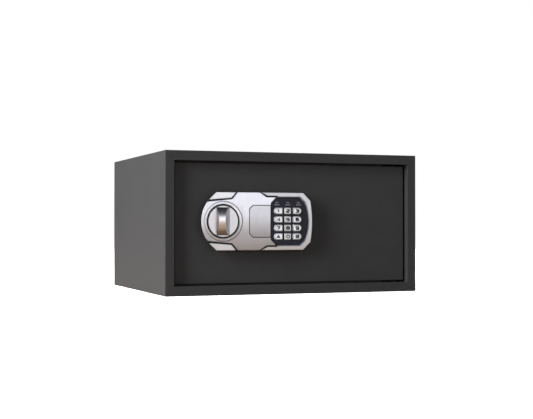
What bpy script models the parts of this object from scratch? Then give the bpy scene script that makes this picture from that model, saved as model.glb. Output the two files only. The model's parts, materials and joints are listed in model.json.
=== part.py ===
"""In-room safe: a sheet-steel body, a recessed door on a concealed hinge and an electronic lock.

Frame: +Z up, the door faces -Y, the lock is on the -X side and the hinge on the +X side. The
origin is at the middle of the whole safe's footprint. Depths on the door are given as distances
behind the front face of the body. At rest the door is closed, the bolts are drawn back and the
knob's grip stands upright.
"""
import math

import bmesh
import bpy
from mathutils import Matrix, Vector
from mathutils.geometry import interpolate_bezier

MM = 0.001

# Overall sizes
BODY_WIDTH = 420 * MM
BODY_DEPTH = 350 * MM
BODY_HEIGHT = 220 * MM
FIT = 0.3 * MM  # gap between pieces that touch

# Body
WALL = 2 * MM
BODY_BEND = 1.5 * MM
LIP_EDGE = 0.8 * MM
FRAME_BORDER = 15 * MM
SIDE_BORDER = 14.5 * MM
JAMB_SHEET = 1.5 * MM
JAMB_BACK = 24 * MM
STOP_WIDTH = 6 * MM
STOP_SHEET = 2 * MM
STOP_HINGE_GAP = 5 * MM
KEEPER_SHEET = 2 * MM
KEEPER_DEPTH = 26 * MM
KEEPER_SETBACK = 2 * MM
KEEPER_OVERHANG = 20 * MM
KEEPER_CLEARANCE = 1 * MM
ANCHOR_RADIUS = 6 * MM
ANCHOR_SPACING = 260 * MM
ANCHOR_DEPTH = 192.5 * MM  # behind the front
MAT_THICKNESS = 3 * MM
MAT_MARGIN = 4 * MM

# Door
DOOR_GAP = 2.5 * MM
DOOR_RECESS = 10 * MM
DOOR_SHEET = 4 * MM
DOOR_EDGE = 1.5 * MM
HINGE_INSET = 17.5 * MM
HINGE_SETBACK = 4 * MM
PIN_RADIUS = 3 * MM
KNUCKLE_HEIGHT = 18 * MM
KNUCKLE_HALF_WIDTH = 6 * MM
BRACKET_HEIGHT = 5 * MM
BRACKET_HALF_WIDTH = 12 * MM
PIN_LENGTH = 22 * MM
COVER_DEPTH = 40 * MM
COVER_SHEET = 1.5 * MM
COVER_FREE_SIDE = 12.5 * MM
COVER_HINGE_SIDE = 45.5 * MM
COVER_MARGIN = 12 * MM
COVER_EDGE = 4 * MM

# Lock panel on the door
PANEL_FROM_SIDE = 146 * MM
PANEL_RAISE = 3 * MM  # above the middle of the body
PANEL_HALF_LENGTH = 90 * MM
PANEL_HALF_HEIGHT = 44.3 * MM
PANEL_PROUD = 13.5 * MM
FACE_THICKNESS = 2.7 * MM
BASE_SHEET = 2.5 * MM
BASE_INSET = 0.8 * MM
GROOVE = 2 * MM
PLATE_EDGE = 0.5 * MM
TRIM_EDGE = 0.6 * MM
BEZEL_RISE = 1.2 * MM
BEZEL_SLOPE = 2.2 * MM

# Keypad
KEY_HEIGHT = 10.2 * MM
OUTER_KEY_WIDTH = 14.3 * MM
MIDDLE_KEY_WIDTH = 11 * MM
KEY_GAP = 3.1 * MM
KEY_PITCH = 13.2 * MM
KEY_CLEARANCE = 0.35 * MM
KEY_TRAVEL = 1 * MM
KEY_RISE = 1 * MM
KEYPAD_X = 49.7 * MM
KEY_ROWS = 4
KEYS_MIDDLE_Z = -3.7 * MM
WINDOW_HALF_HEIGHT = 36 * MM
WINDOW_LEFT = 22 * MM
WINDOW_RIGHT = 83.5 * MM
WINDOW_DROP = 0.7 * MM
WINDOW_CHAMFER = 7.8 * MM
WINDOW_CORNER = (6.5 * MM, 7 * MM)
WINDOW_TOP_SLOPE = 8 * MM
APERTURE_INSET = 3 * MM
KEY_CORNER = 1.2 * MM
BOARD_SIZE = (50 * MM, 66 * MM)
BOARD_OFFSET = 1.5 * MM
BOARD_CORNER = 2 * MM
MEMBRANE_SHEET = 1 * MM
BOARD_SHEET = 1.6 * MM
LIGHT_SIZE = (5 * MM, 1.6 * MM)
LIGHT_SPACING = 18 * MM
LIGHT_Z = 29 * MM

# Knob and bolt work
KNOB_INSET = 3.2 * MM  # between the collar and the panel's left end
KNOB_RADIUS = 24 * MM
KNOB_GAP = 2.2 * MM
COLLAR_WIDTH = 4.5 * MM
COLLAR_RISE = 1.1 * MM
COLLAR_INSET = 0.6 * MM
COLLAR_SINK = 0.05 * MM  # so that its foot meets the panel face in one clean line
KNOB_DROP = 0.5 * MM
GRIP_INSET = 2.6 * MM  # from the disc's rim to the grip's ends
GRIP_RISE = 8 * MM
GRIP_LEFT = 10 * MM
GRIP_RIGHT = 10.5 * MM
GRIP_RIDGE = 2 * MM
SCOOP_RADIUS = 14 * MM
WAIST_RADIUS = 200 * MM
WAIST_DEPTH = 1 * MM
SPINDLE_RADIUS = 5 * MM
BUSH_WALL = 2.5 * MM
CAM_RADIUS = 17 * MM
CAM_SHEET = 3 * MM
CAM_STANDOFF = 4 * MM
CAM_PIN_RADIUS = 2.5 * MM
CAM_CLEARANCE = 3 * MM
SPINDLE_PROUD = 1 * MM
SLOT_CLEARANCE = 0.6 * MM
BOLT_TRAVEL = 18 * MM
BOLT_RADIUS = 7 * MM
BOLT_LENGTH = 114 * MM
BOLT_SPACING = 68 * MM
BOLT_PROUD = 1.5 * MM
CARRIAGE_SHEET = 3 * MM
CARRIAGE_HALF_HEIGHT = 48 * MM
CARRIAGE_WIDTH = 52 * MM
SLOT_MARGIN = 10 * MM
GUIDE_SHEET = 3 * MM
GUIDE_END_MARGIN = 4 * MM
GUIDE_REAR_MARGIN = 3 * MM
GUIDE_INSET = 5 * MM
GUIDE_GAP = 2 * MM
TOOTH_WIDTH = 6 * MM
TOOTH_HEIGHT = 7 * MM
TOOTH_INSET = 10 * MM
PLUNGER_RADIUS = 2.5 * MM
SOLENOID_SIZE = 22 * MM
SOLENOID_OFFSET = 1 * MM
PLUNGER_CLEARANCE = 0.5 * MM
PLUNGER_PROUD = 2 * MM
SOLENOID_TOP = 4 * MM

# Emergency lock, battery box and reset button
OVERRIDE_X = 4 * MM
OVERRIDE_LEFT = -13.8 * MM
OVERRIDE_HALF_HEIGHT = 25 * MM
OVERRIDE_CORNER = 5.8 * MM
OVERRIDE_GAP = 0.65 * MM
BARREL_RADIUS = 9.5 * MM
PLUG_RADIUS = 6 * MM
KEYWAY = (1.4 * MM, 8 * MM)
KEYWAY_DEPTH = 17 * MM
BARREL_REACH = 10 * MM
CELL_RADIUS = 7.2 * MM
CELL_LENGTH = 50 * MM
CELL_PITCH = 16 * MM
CELL_COUNT = 4
CELL_END_GAP = 2 * MM
CELL_REAR_GAP = 3 * MM
BATTERY_FROM_COVER_END = 100 * MM
BOX_SHEET = 1.5 * MM
HATCH_LIP = 0.5 * MM
BATTERY_COVER_LAP = 4 * MM
BATTERY_COVER_SHEET = 2 * MM
RESET_FROM_COVER_END = 30 * MM
RESET_Z = 60 * MM
RESET_RADIUS = 4 * MM
RESET_TRAVEL = 2 * MM
RESET_LENGTH = 8 * MM
LEAD_RADIUS = 2 * MM
LEAD_STRAIGHT = 2 * MM  # at each end, so that the ends sit square
LEAD_OFFSET = (40 * MM, 13 * MM)  # from the panel's centre

# Worked out from the sizes above
KNOB_PROUD = PANEL_PROUD - DOOR_RECESS - KNOB_DROP + GRIP_RISE
FRONT = (KNOB_PROUD - BODY_DEPTH) / 2
REAR = FRONT + BODY_DEPTH
RIGHT = BODY_WIDTH / 2
PANEL_X = -RIGHT + PANEL_FROM_SIDE
PANEL_Z = BODY_HEIGHT / 2 + PANEL_RAISE
COLLAR_RADIUS = KNOB_RADIUS + KNOB_GAP + COLLAR_INSET + COLLAR_WIDTH
GRIP_HALF_HEIGHT = KNOB_RADIUS - GRIP_INSET
KNOB_X = -PANEL_HALF_LENGTH + KNOB_INSET + COLLAR_RADIUS
TOP_ROW_Z = KEYS_MIDDLE_Z + KEY_PITCH * (KEY_ROWS - 1) / 2
LEAD_X = PANEL_X + LEAD_OFFSET[0]
LEAD_Z = PANEL_Z + LEAD_OFFSET[1]
OPENING_X = RIGHT - SIDE_BORDER
OPENING_LOW = FRAME_BORDER
OPENING_HIGH = BODY_HEIGHT - FRAME_BORDER
DOOR_FRONT = FRONT + DOOR_RECESS
DOOR_BACK = DOOR_FRONT + DOOR_SHEET
DOOR_X = OPENING_X - DOOR_GAP
DOOR_LOW = OPENING_LOW + DOOR_GAP
DOOR_HIGH = OPENING_HIGH - DOOR_GAP
HINGE_X = OPENING_X - HINGE_INSET
HINGE_Y = DOOR_BACK + HINGE_SETBACK
COVER_BACK = DOOR_BACK + COVER_DEPTH
COVER_LEFT = -OPENING_X + COVER_FREE_SIDE
COVER_RIGHT = OPENING_X - COVER_HINGE_SIDE
BATTERY_X = COVER_RIGHT - BATTERY_FROM_COVER_END
RESET_X = COVER_RIGHT - RESET_FROM_COVER_END
COVER_LOW = OPENING_LOW + COVER_MARGIN
COVER_HIGH = OPENING_HIGH - COVER_MARGIN
FACE_FRONT = DOOR_FRONT - PANEL_PROUD
FACE_BACK = FACE_FRONT + FACE_THICKNESS
BASE_FRONT = FACE_BACK + FIT
BASE_BACK = DOOR_FRONT - FIT
KNOB_CENTRE = PANEL_X + KNOB_X
KNOB_FRONT = FACE_FRONT + KNOB_DROP
CAM_FRONT = DOOR_BACK + CAM_STANDOFF
CAM_BACK = CAM_FRONT + CAM_SHEET
CARRIAGE_FRONT = CAM_BACK + CAM_CLEARANCE
CARRIAGE_BACK = CARRIAGE_FRONT + CARRIAGE_SHEET
BOLT_Y = CARRIAGE_BACK + FIT + BOLT_RADIUS
BOLT_TIP = COVER_LEFT - BOLT_PROUD
BOLT_ZS = {"upper": PANEL_Z + BOLT_SPACING / 2, "lower": PANEL_Z - BOLT_SPACING / 2}
CAM_PIN_OFFSET = BOLT_TRAVEL / 2
CAM_PIN_THROW = CAM_PIN_OFFSET * math.sqrt(2)
CARRIAGE_RIGHT = KNOB_CENTRE + CAM_PIN_OFFSET + CAM_PIN_RADIUS + SLOT_MARGIN
CARRIAGE_LEFT = CARRIAGE_RIGHT - CARRIAGE_WIDTH
OUTER_GUIDE_X = COVER_LEFT + GUIDE_INSET
INNER_GUIDE_X = CARRIAGE_RIGHT + GUIDE_GAP
PARTS = "in_room_safe"


# Scene, materials and joint axes

def start_scene():
    for item in list(bpy.data.objects):
        bpy.data.objects.remove(item, do_unlink=True)
    for name in (PARTS, "cutters"):
        group = bpy.data.collections.get(name) or bpy.data.collections.new(name)
        if group.name not in bpy.context.scene.collection.children:
            bpy.context.scene.collection.children.link(group)


def finish_of(colour, roughness, metallic=0.0):
    """Colour, roughness and metallic value of a piece's own material."""
    return {"colour": colour, "roughness": roughness, "metallic": metallic}


POWDER_COAT = finish_of((0.030, 0.030, 0.032), 0.55)
BARE_STEEL = finish_of((0.55, 0.55, 0.56), 0.35, 1.0)
SILVER = finish_of((0.62, 0.62, 0.66), 0.35, 0.8)
DARK_PLASTIC = finish_of((0.02, 0.02, 0.022), 0.5)
GLOSS_BLACK = finish_of((0.006, 0.006, 0.01), 0.12)
KEY_GREY = finish_of((0.60, 0.60, 0.62), 0.4)
BRASS = finish_of((0.62, 0.45, 0.18), 0.3, 1.0)
RED_PLASTIC = finish_of((0.5, 0.03, 0.02), 0.4)
BOARD_GREEN = finish_of((0.02, 0.16, 0.06), 0.5)
RUBBER = finish_of((0.05, 0.05, 0.05), 0.8)
CARPET = finish_of((0.04, 0.04, 0.045), 0.95)


def make_material(name, look):
    material = bpy.data.materials.new(name)
    material.use_nodes = True
    shader = material.node_tree.nodes["Principled BSDF"]
    shader.inputs["Base Color"].default_value = (*look["colour"], 1.0)
    shader.inputs["Roughness"].default_value = look["roughness"]
    shader.inputs["Metallic"].default_value = look["metallic"]
    return material


def add_piece(name, mesh, look, matrix):
    """Link a mesh as a piece, or as a cutter when it has no look."""
    piece = bpy.data.objects.new(name, mesh)
    piece.matrix_world = matrix
    if look is None:
        bpy.data.collections["cutters"].objects.link(piece)
        piece.hide_render = True
        piece.display_type = "WIRE"
    else:
        mesh.materials.clear()
        mesh.materials.append(make_material(name, look))
        bpy.data.collections[PARTS].objects.link(piece)
    return piece


def joint_axis(name, location, pieces):
    """Hang pieces on an empty that stands on their joint's axis."""
    empty = bpy.data.objects.new(name, None)
    empty.empty_display_size = 10 * MM
    empty.location = location
    bpy.data.collections[PARTS].objects.link(empty)
    bpy.context.view_layer.update()
    for piece in pieces:
        piece.parent = empty
        piece.matrix_parent_inverse = empty.matrix_world.inverted()
    return empty


# Shapes

def round_edges(piece, width, segments=1):
    bevel = piece.modifiers.new("edges", "BEVEL")
    bevel.width = width
    bevel.segments = segments
    bevel.limit_method = "ANGLE"
    bevel.angle_limit = math.radians(40)


def combine(piece, other, operation="DIFFERENCE"):
    boolean = piece.modifiers.new(other.name, "BOOLEAN")
    boolean.operation = operation
    boolean.solver = "EXACT"
    boolean.object = other


def smooth(mesh):
    mesh.shade_smooth()
    mesh.set_sharp_from_angle(angle=math.radians(35))


def box(name, xs, ys, zs, look=None, edge=0.0, segments=1):
    """A block between two limits on each axis."""
    low = Vector((xs[0], ys[0], zs[0]))
    high = Vector((xs[1], ys[1], zs[1]))
    shape = bmesh.new()
    bmesh.ops.create_cube(shape, size=1.0)
    bmesh.ops.scale(shape, vec=high - low, verts=shape.verts)
    mesh = bpy.data.meshes.new(name)
    shape.to_mesh(mesh)
    shape.free()
    piece = add_piece(name, mesh, look, Matrix.Translation((low + high) / 2))
    if edge:
        round_edges(piece, edge, segments)
    return piece


TURNS = {
    "X": Matrix.Rotation(math.radians(90), 4, "Y"),
    "Y": Matrix.Rotation(math.radians(90), 4, "X"),
    "Z": Matrix.Identity(4),
}


def rod(name, centre, axis, radius, length, look=None, edge=0.0, sides=24):
    """A round bar along one axis."""
    shape = bmesh.new()
    bmesh.ops.create_cone(
        shape, cap_ends=True, segments=sides, radius1=radius, radius2=radius, depth=length)
    mesh = bpy.data.meshes.new(name)
    shape.to_mesh(mesh)
    shape.free()
    smooth(mesh)
    piece = add_piece(name, mesh, look, Matrix.Translation(centre) @ TURNS[axis])
    if edge:
        round_edges(piece, edge, 1)
    return piece


def curve_piece(name, curve, matrix, look):
    """Turn a curve into a welded mesh piece."""
    guide = bpy.data.objects.new(name + "_guide", curve)
    guide.matrix_world = matrix
    bpy.data.collections["cutters"].objects.link(guide)
    bpy.context.view_layer.update()
    evaluated = guide.evaluated_get(bpy.context.evaluated_depsgraph_get())
    mesh = bpy.data.meshes.new_from_object(evaluated)
    bpy.data.objects.remove(guide, do_unlink=True)
    shape = bmesh.new()
    shape.from_mesh(mesh)
    bmesh.ops.remove_doubles(shape, verts=shape.verts, dist=0.01 * MM)
    bmesh.ops.dissolve_limit(
        shape, angle_limit=math.radians(1), verts=shape.verts, edges=shape.edges)
    bmesh.ops.recalc_face_normals(shape, faces=shape.faces)
    shape.to_mesh(mesh)
    shape.free()
    smooth(mesh)
    mesh.name = name
    return add_piece(name, mesh, look, matrix)


def plate(name, outlines, ys, look=None, edge=0.0, segments=1, flare=0.0):
    """A flat piece facing -Y, cut to outlines of (x, z) about the lock panel's centre.

    Outlines inside the first one are holes. A flare widens the middle of the thickness.
    """
    curve = bpy.data.curves.new(name, "CURVE")
    curve.dimensions = "2D"
    curve.fill_mode = "BOTH"
    curve.extrude = (ys[1] - ys[0]) / 2 - flare
    curve.bevel_depth = flare
    curve.bevel_resolution = 0
    for outline in outlines:
        spline = curve.splines.new("POLY")
        spline.points.add(len(outline) - 1)
        for point, (x, z) in zip(spline.points, outline):
            point.co = (x, z, 0, 1)
        spline.use_cyclic_u = True
    place = Matrix.Translation((PANEL_X, (ys[0] + ys[1]) / 2, PANEL_Z)) @ TURNS["Y"]
    piece = curve_piece(name, curve, place, look)
    if edge:
        round_edges(piece, edge, segments)
    return piece


def turned(name, profile, centre, look=None, steps=48):
    """A ring or knob turned about Y from a closed profile of (radius, height towards -Y)."""
    mesh = bpy.data.meshes.new(name)
    points = [(radius, 0, height) for radius, height in profile]
    sides = [(i, (i + 1) % len(points)) for i in range(len(points))]
    mesh.from_pydata(points, sides, [])
    piece = add_piece(name, mesh, look, Matrix.Translation(centre) @ TURNS["Y"])
    screw = piece.modifiers.new("turn", "SCREW")
    screw.axis = "Z"
    screw.steps = steps
    screw.render_steps = steps
    screw.use_merge_vertices = True
    screw.merge_threshold = 0.00001
    return piece


# Outlines, as (x, z) points about the lock panel's centre

def arc(start, middle, end, steps):
    """Points on the circle through three points, both ends included."""
    (ax, az), (bx, bz), (cx, cz) = start, middle, end
    area = 2 * (ax * (bz - cz) + bx * (cz - az) + cx * (az - bz))
    a2, b2, c2 = ax * ax + az * az, bx * bx + bz * bz, cx * cx + cz * cz
    ox = (a2 * (bz - cz) + b2 * (cz - az) + c2 * (az - bz)) / area
    oz = (a2 * (cx - bx) + b2 * (ax - cx) + c2 * (bx - ax)) / area
    radius = math.hypot(ax - ox, az - oz)
    first = math.atan2(az - oz, ax - ox)
    sweep = math.atan2(cz - oz, cx - ox) - first
    via = math.atan2(bz - oz, bx - ox) - first
    turn = 2 * math.pi
    if via % turn > sweep % turn:
        sweep = -(-sweep % turn)
    else:
        sweep = sweep % turn
    angles = [first + sweep * i / steps for i in range(steps + 1)]
    return [(ox + radius * math.cos(a), oz + radius * math.sin(a)) for a in angles]


def mirrored(upper):
    """Close an outline whose upper half runs from its right end to its left end."""
    return upper + [(x, -z) for x, z in reversed(upper) if abs(z) > 0.001 * MM]


def circle(centre, radius, steps=48):
    angles = [2 * math.pi * i / steps for i in range(steps)]
    return [(centre[0] + radius * math.cos(a), centre[1] + radius * math.sin(a)) for a in angles]


def rounded_box(x, z, width, height, left_radius, right_radius):
    """A box outline whose left and right corners have their own radii."""
    points = []
    corners = ((1, 1, right_radius, 0), (-1, 1, left_radius, 90),
               (-1, -1, left_radius, 180), (1, -1, right_radius, 270))
    for side, level, radius, start in corners:
        cx = x + side * (width / 2 - radius)
        cz = z + level * (height / 2 - radius)
        steps = 5 if radius > 2 * MM else 2
        for i in range(steps + 1):
            angle = math.radians(start + 90 * i / steps)
            points.append((cx + radius * math.cos(angle), cz + radius * math.sin(angle)))
    return points


CORNER_RIGHT = (PANEL_HALF_LENGTH - 3 * MM, PANEL_HALF_HEIGHT - 12 * MM)
SHOULDER_RIGHT = (PANEL_HALF_LENGTH - 15 * MM, PANEL_HALF_HEIGHT)
SHOULDER_LEFT = (-PANEL_HALF_LENGTH + 24 * MM, PANEL_HALF_HEIGHT)
CORNER_LEFT = (-PANEL_HALF_LENGTH + 11 * MM, PANEL_HALF_HEIGHT - 13 * MM)


def right_end(inset=0.0):
    """Upper quarter of the panel's right end, from the middle up to the shoulder."""
    corner = (CORNER_RIGHT[0] - inset, CORNER_RIGHT[1])
    low = (corner[0], -corner[1])
    whole = arc(low, (PANEL_HALF_LENGTH - inset, 0), corner, 12)
    return whole[6:] + [(SHOULDER_RIGHT[0], SHOULDER_RIGHT[1] - inset)]


def left_end(inset=0.0):
    """Upper quarter of the panel's left end, from the shoulder down to the middle."""
    corner = (CORNER_LEFT[0] + inset, CORNER_LEFT[1])
    low = (corner[0], -corner[1])
    whole = arc(corner, (-PANEL_HALF_LENGTH + inset, 0), low, 20)
    return [(SHOULDER_LEFT[0], SHOULDER_LEFT[1] - inset)] + whole[:11]


def window_outline(grow=0.0):
    """Keypad window, widened all round by an amount."""
    top = WINDOW_HALF_HEIGHT + grow
    left = WINDOW_LEFT - grow
    right = WINDOW_RIGHT + grow
    corner = (right - WINDOW_CORNER[0], top - WINDOW_CORNER[1])
    low = (corner[0], -corner[1])
    curve = arc(low, (right, 0), corner, 12)[6:]
    upper = curve + [(corner[0] - WINDOW_TOP_SLOPE, top), (left + WINDOW_CHAMFER, top),
                     (left, top - WINDOW_CHAMFER)]
    return mirrored(upper)


WING = ((-78 * MM, COLLAR_RADIUS + 0.5 * MM), (-42 * MM, COLLAR_RADIUS + 3.4 * MM),
        (-33.5 * MM, PANEL_HALF_HEIGHT))
TIP = ((5 * MM, PANEL_HALF_HEIGHT), (15 * MM, PANEL_HALF_HEIGHT - 6.1 * MM))


def face_outline():
    """Centre face: the panel without its trims, its bezel and the emergency lock's pocket."""
    half = GROOVE / 2
    inner = window_outline(FIT)
    chamfer_top = max(inner, key=lambda p: p[1] - abs(p[0] - WINDOW_LEFT) / 100)
    pocket_z = OVERRIDE_HALF_HEIGHT
    pocket_x = OVERRIDE_LEFT
    edge = WINDOW_LEFT - FIT
    upper = [
        (pocket_x, 0),
        (pocket_x, pocket_z - OVERRIDE_CORNER),
        (pocket_x + OVERRIDE_CORNER, pocket_z),
        (edge, pocket_z),
        (edge, WINDOW_HALF_HEIGHT + FIT - WINDOW_CHAMFER),
        chamfer_top,
        (chamfer_top[0] + 1 * MM, TIP[1][1] - half),
        (TIP[1][0] - half / 2, TIP[1][1] - half),
        (TIP[0][0] - half * 1.5, TIP[0][1]),
        (WING[2][0] + half * 1.5, WING[2][1]),
        (WING[1][0] + half, WING[1][1] - half),
        (WING[0][0] - 1.5 * MM, WING[0][1] - half - 1 * MM),
    ]
    return mirrored(upper + left_end()[2:])


def trim_outline(level):
    """Trim at the panel's upper (level 1) or lower (level -1) left corner."""
    half = GROOVE / 2
    points = [
        (WING[2][0] - half * 1.5, WING[2][1]),
        SHOULDER_LEFT,
        (WING[0][0] + 1 * MM, WING[0][1] + half + 1 * MM),
        (WING[0][0] + 2 * MM, WING[0][1] + half + 0.2 * MM),
        (WING[1][0] - half / 2, WING[1][1] + half),
    ]
    return [(x, level * z) for x, z in points]


def bezel_outline():
    """C-shaped bezel around the keypad window."""
    half = GROOVE / 2
    inner = window_outline(FIT)
    upper_inner = [p for p in inner if p[1] > 0 and p[0] > KEYPAD_X]
    step_x = WINDOW_LEFT + 10.5 * MM
    outer = right_end()
    tip = [
        (TIP[0][0] + half * 1.5, TIP[0][1]),
        (TIP[1][0] + half, TIP[1][1] + half),
        (step_x, TIP[1][1] + half),
        (step_x, WINDOW_HALF_HEIGHT + FIT),
    ]
    upper = outer[1:] + tip + list(reversed(upper_inner))
    middle_inner = [(WINDOW_RIGHT + FIT, 0)]
    lower = [(x, -z) for x, z in reversed(upper)]
    return [outer[0]] + upper + middle_inner + lower


# Body of the safe

def make_body():
    inner_x = RIGHT - WALL
    shell = box("body_shell", (-RIGHT, RIGHT), (FRONT, REAR), (0, BODY_HEIGHT), POWDER_COAT,
                BODY_BEND, 3)
    cavity = box("cavity", (-inner_x, inner_x), (FRONT + WALL, REAR + WALL),
                 (WALL, BODY_HEIGHT - WALL))
    opening = box("door_opening", (-OPENING_X, OPENING_X), (FRONT - WALL, FRONT + 2 * WALL),
                  (OPENING_LOW, OPENING_HIGH))
    combine(shell, cavity)
    combine(shell, opening)
    lip = shell.modifiers.new("lip", "BEVEL")
    lip.width = LIP_EDGE
    lip.segments = 2
    lip.limit_method = "ANGLE"
    lip.angle_limit = math.radians(80)
    back = box("back_panel", (-inner_x + FIT, inner_x - FIT), (REAR - WALL, REAR),
               (WALL + FIT, BODY_HEIGHT - WALL - FIT), POWDER_COAT)
    inner_y = FRONT + WALL + FIT
    mat = box("floor_mat", (-inner_x + MAT_MARGIN, inner_x - MAT_MARGIN),
              (COVER_BACK + MAT_MARGIN, REAR - WALL - MAT_MARGIN),
              (WALL + FIT, WALL + FIT + MAT_THICKNESS), CARPET, 0.8 * MM)
    for side in (-1, 1):
        x = side * ANCHOR_SPACING / 2
        through_back = rod(f"back_anchor_{side}", (x, REAR, BODY_HEIGHT / 2), "Y",
                           ANCHOR_RADIUS, 6 * WALL)
        through_base = rod(f"base_anchor_{side}", (x, FRONT + ANCHOR_DEPTH, 0), "Z",
                           ANCHOR_RADIUS, 6 * WALL + 4 * MAT_THICKNESS)
        combine(back, through_back)
        combine(shell, through_base)
        combine(mat, through_base)
    make_jamb(inner_y)
    make_keeper()
    for level in (1, -1):
        make_bracket(level)


def make_jamb(front):
    """Folded ring that lines the opening, and the strips that the door closes against."""
    jamb_back = FRONT + JAMB_BACK
    skin = JAMB_SHEET
    jamb = box("door_jamb", (-OPENING_X - skin, OPENING_X + skin), (front, jamb_back),
               (OPENING_LOW - skin, OPENING_HIGH + skin), POWDER_COAT)
    hollow = box("jamb_hollow", (-OPENING_X, OPENING_X), (front - skin, jamb_back + skin),
                 (OPENING_LOW, OPENING_HIGH))
    combine(jamb, hollow)
    for level in (1, -1):
        combine(jamb, rod(f"jamb_pin_{level}", (HINGE_X, HINGE_Y, mirror_z(OPENING_HIGH, level)),
                          "Z", PIN_RADIUS + FIT, 4 * skin))
    stop_front = DOOR_BACK + 2 * FIT
    stop_end = HINGE_X - HINGE_INSET - STOP_HINGE_GAP
    reach = OPENING_X - FIT
    low = OPENING_LOW + FIT
    high = OPENING_HIGH - FIT
    stop = box("door_stop", (-reach, stop_end), (stop_front, stop_front + STOP_SHEET),
               (low, high), POWDER_COAT)
    window = box("stop_window", (-reach + STOP_WIDTH, stop_end + STOP_WIDTH),
                 (stop_front - STOP_SHEET, stop_front + 2 * STOP_SHEET),
                 (low + STOP_WIDTH, high - STOP_WIDTH))
    combine(stop, window)


def make_keeper():
    """Angle behind the free jamb, with a hole for each bolt."""
    front = FRONT + JAMB_BACK + FIT
    rear = front + KEEPER_DEPTH
    face = -OPENING_X - KEEPER_SETBACK
    low = BOLT_ZS["lower"] - KEEPER_OVERHANG
    high = BOLT_ZS["upper"] + KEEPER_OVERHANG
    keeper = box("bolt_keeper", (-RIGHT + WALL + FIT, face), (front, rear), (low, high),
                 BARE_STEEL)
    relief = box("keeper_relief", (-RIGHT, face - KEEPER_SHEET),
                 (front - KEEPER_SHEET, rear - KEEPER_SHEET), (low - WALL, high + WALL))
    combine(keeper, relief)
    for name, z in BOLT_ZS.items():
        combine(keeper, rod(f"keeper_hole_{name}", (face, BOLT_Y, z), "X",
                            BOLT_RADIUS + KEEPER_CLEARANCE, 6 * KEEPER_SHEET))


def mirror_z(z, level):
    """A height, or its mirror image in the middle of the opening for level -1."""
    return z if level > 0 else OPENING_LOW + OPENING_HIGH - z


def make_bracket(level):
    """Hinge bracket that carries the end of a pin outside the jamb."""
    name = "upper" if level > 0 else "lower"
    inner = mirror_z(OPENING_HIGH + JAMB_SHEET + FIT, level)
    outer = inner + level * BRACKET_HEIGHT
    bracket = box(f"hinge_bracket_{name}",
                  (HINGE_X - BRACKET_HALF_WIDTH, HINGE_X + BRACKET_HALF_WIDTH),
                  (HINGE_Y - PIN_RADIUS * 3, HINGE_Y + PIN_RADIUS * 3),
                  (min(inner, outer), max(inner, outer)), BARE_STEEL, 1 * MM)
    combine(bracket, rod(f"bracket_bore_{name}", (HINGE_X, HINGE_Y, inner), "Z",
                         PIN_RADIUS + FIT, 4 * BRACKET_HEIGHT))


# Door

def make_door():
    door = box("door_plate", (-DOOR_X, DOOR_X), (DOOR_FRONT, DOOR_BACK), (DOOR_LOW, DOOR_HIGH),
               POWDER_COAT, DOOR_EDGE, 3)
    spindle_hole = rod("spindle_hole", (KNOB_CENTRE, DOOR_FRONT, PANEL_Z), "Y",
                       SPINDLE_RADIUS + FIT + BUSH_WALL + FIT, 6 * DOOR_SHEET)
    barrel_hole = rod("barrel_hole", (PANEL_X + OVERRIDE_X, DOOR_FRONT, PANEL_Z), "Y",
                      BARREL_RADIUS + FIT, 6 * DOOR_SHEET)
    lead_hole = rod("lead_hole", (LEAD_X, DOOR_FRONT, LEAD_Z), "Y", 3 * LEAD_RADIUS,
                    6 * DOOR_SHEET)
    for hole in (spindle_hole, barrel_hole, lead_hole):
        combine(door, hole)
    pieces = [door, make_inner_cover()]
    for level in (1, -1):
        pieces += make_hinge(level)
    return pieces


def make_hinge(level):
    """Knuckle on the back of the door, and the pin that stands in it."""
    name = "upper" if level > 0 else "lower"
    top = mirror_z(DOOR_HIGH - FIT, level)
    bottom = top - level * KNUCKLE_HEIGHT
    knuckle = box(f"hinge_knuckle_{name}",
                  (HINGE_X - KNUCKLE_HALF_WIDTH, HINGE_X + KNUCKLE_HALF_WIDTH),
                  (DOOR_BACK + FIT, HINGE_Y + KNUCKLE_HALF_WIDTH),
                  (min(top, bottom), max(top, bottom)), BARE_STEEL, 1.5 * MM)
    bore = rod(f"knuckle_bore_{name}", (HINGE_X, HINGE_Y, top), "Z", PIN_RADIUS + FIT,
               4 * KNUCKLE_HEIGHT)
    combine(knuckle, bore)
    outer = mirror_z(OPENING_HIGH + JAMB_SHEET + FIT + BRACKET_HEIGHT, level)
    centre = outer - level * PIN_LENGTH / 2
    pin = rod(f"hinge_pin_{name}", (HINGE_X, HINGE_Y, centre), "Z", PIN_RADIUS, PIN_LENGTH,
              BARE_STEEL, 0.5 * MM)
    return [knuckle, pin]


def make_inner_cover():
    """Deep pan that closes the lock work on the inside of the door."""
    cover = box("door_inner_cover", (COVER_LEFT, COVER_RIGHT), (DOOR_BACK + FIT, COVER_BACK),
                (COVER_LOW, COVER_HIGH), POWDER_COAT, COVER_EDGE, 3)
    hollow = box("cover_hollow", (COVER_LEFT + COVER_SHEET, COVER_RIGHT - COVER_SHEET),
                 (DOOR_BACK - COVER_EDGE, COVER_BACK - COVER_SHEET),
                 (COVER_LOW + COVER_SHEET, COVER_HIGH - COVER_SHEET))
    round_edges(hollow, COVER_EDGE - COVER_SHEET, 3)
    combine(cover, hollow)
    for name, z in BOLT_ZS.items():
        combine(cover, rod(f"cover_hole_{name}", (COVER_LEFT, BOLT_Y, z), "X",
                           BOLT_RADIUS + 2 * FIT, 6 * COVER_SHEET))
    combine(cover, rod("reset_hole", (RESET_X, COVER_BACK, RESET_Z), "Y", RESET_RADIUS + FIT,
                       6 * COVER_SHEET))
    hatch_x, hatch_z = battery_limits(-BOX_SHEET - HATCH_LIP)
    combine(cover, box("battery_hatch", hatch_x, (COVER_BACK - 2 * COVER_SHEET, COVER_BACK + WALL),
                       hatch_z))
    return cover


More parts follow.
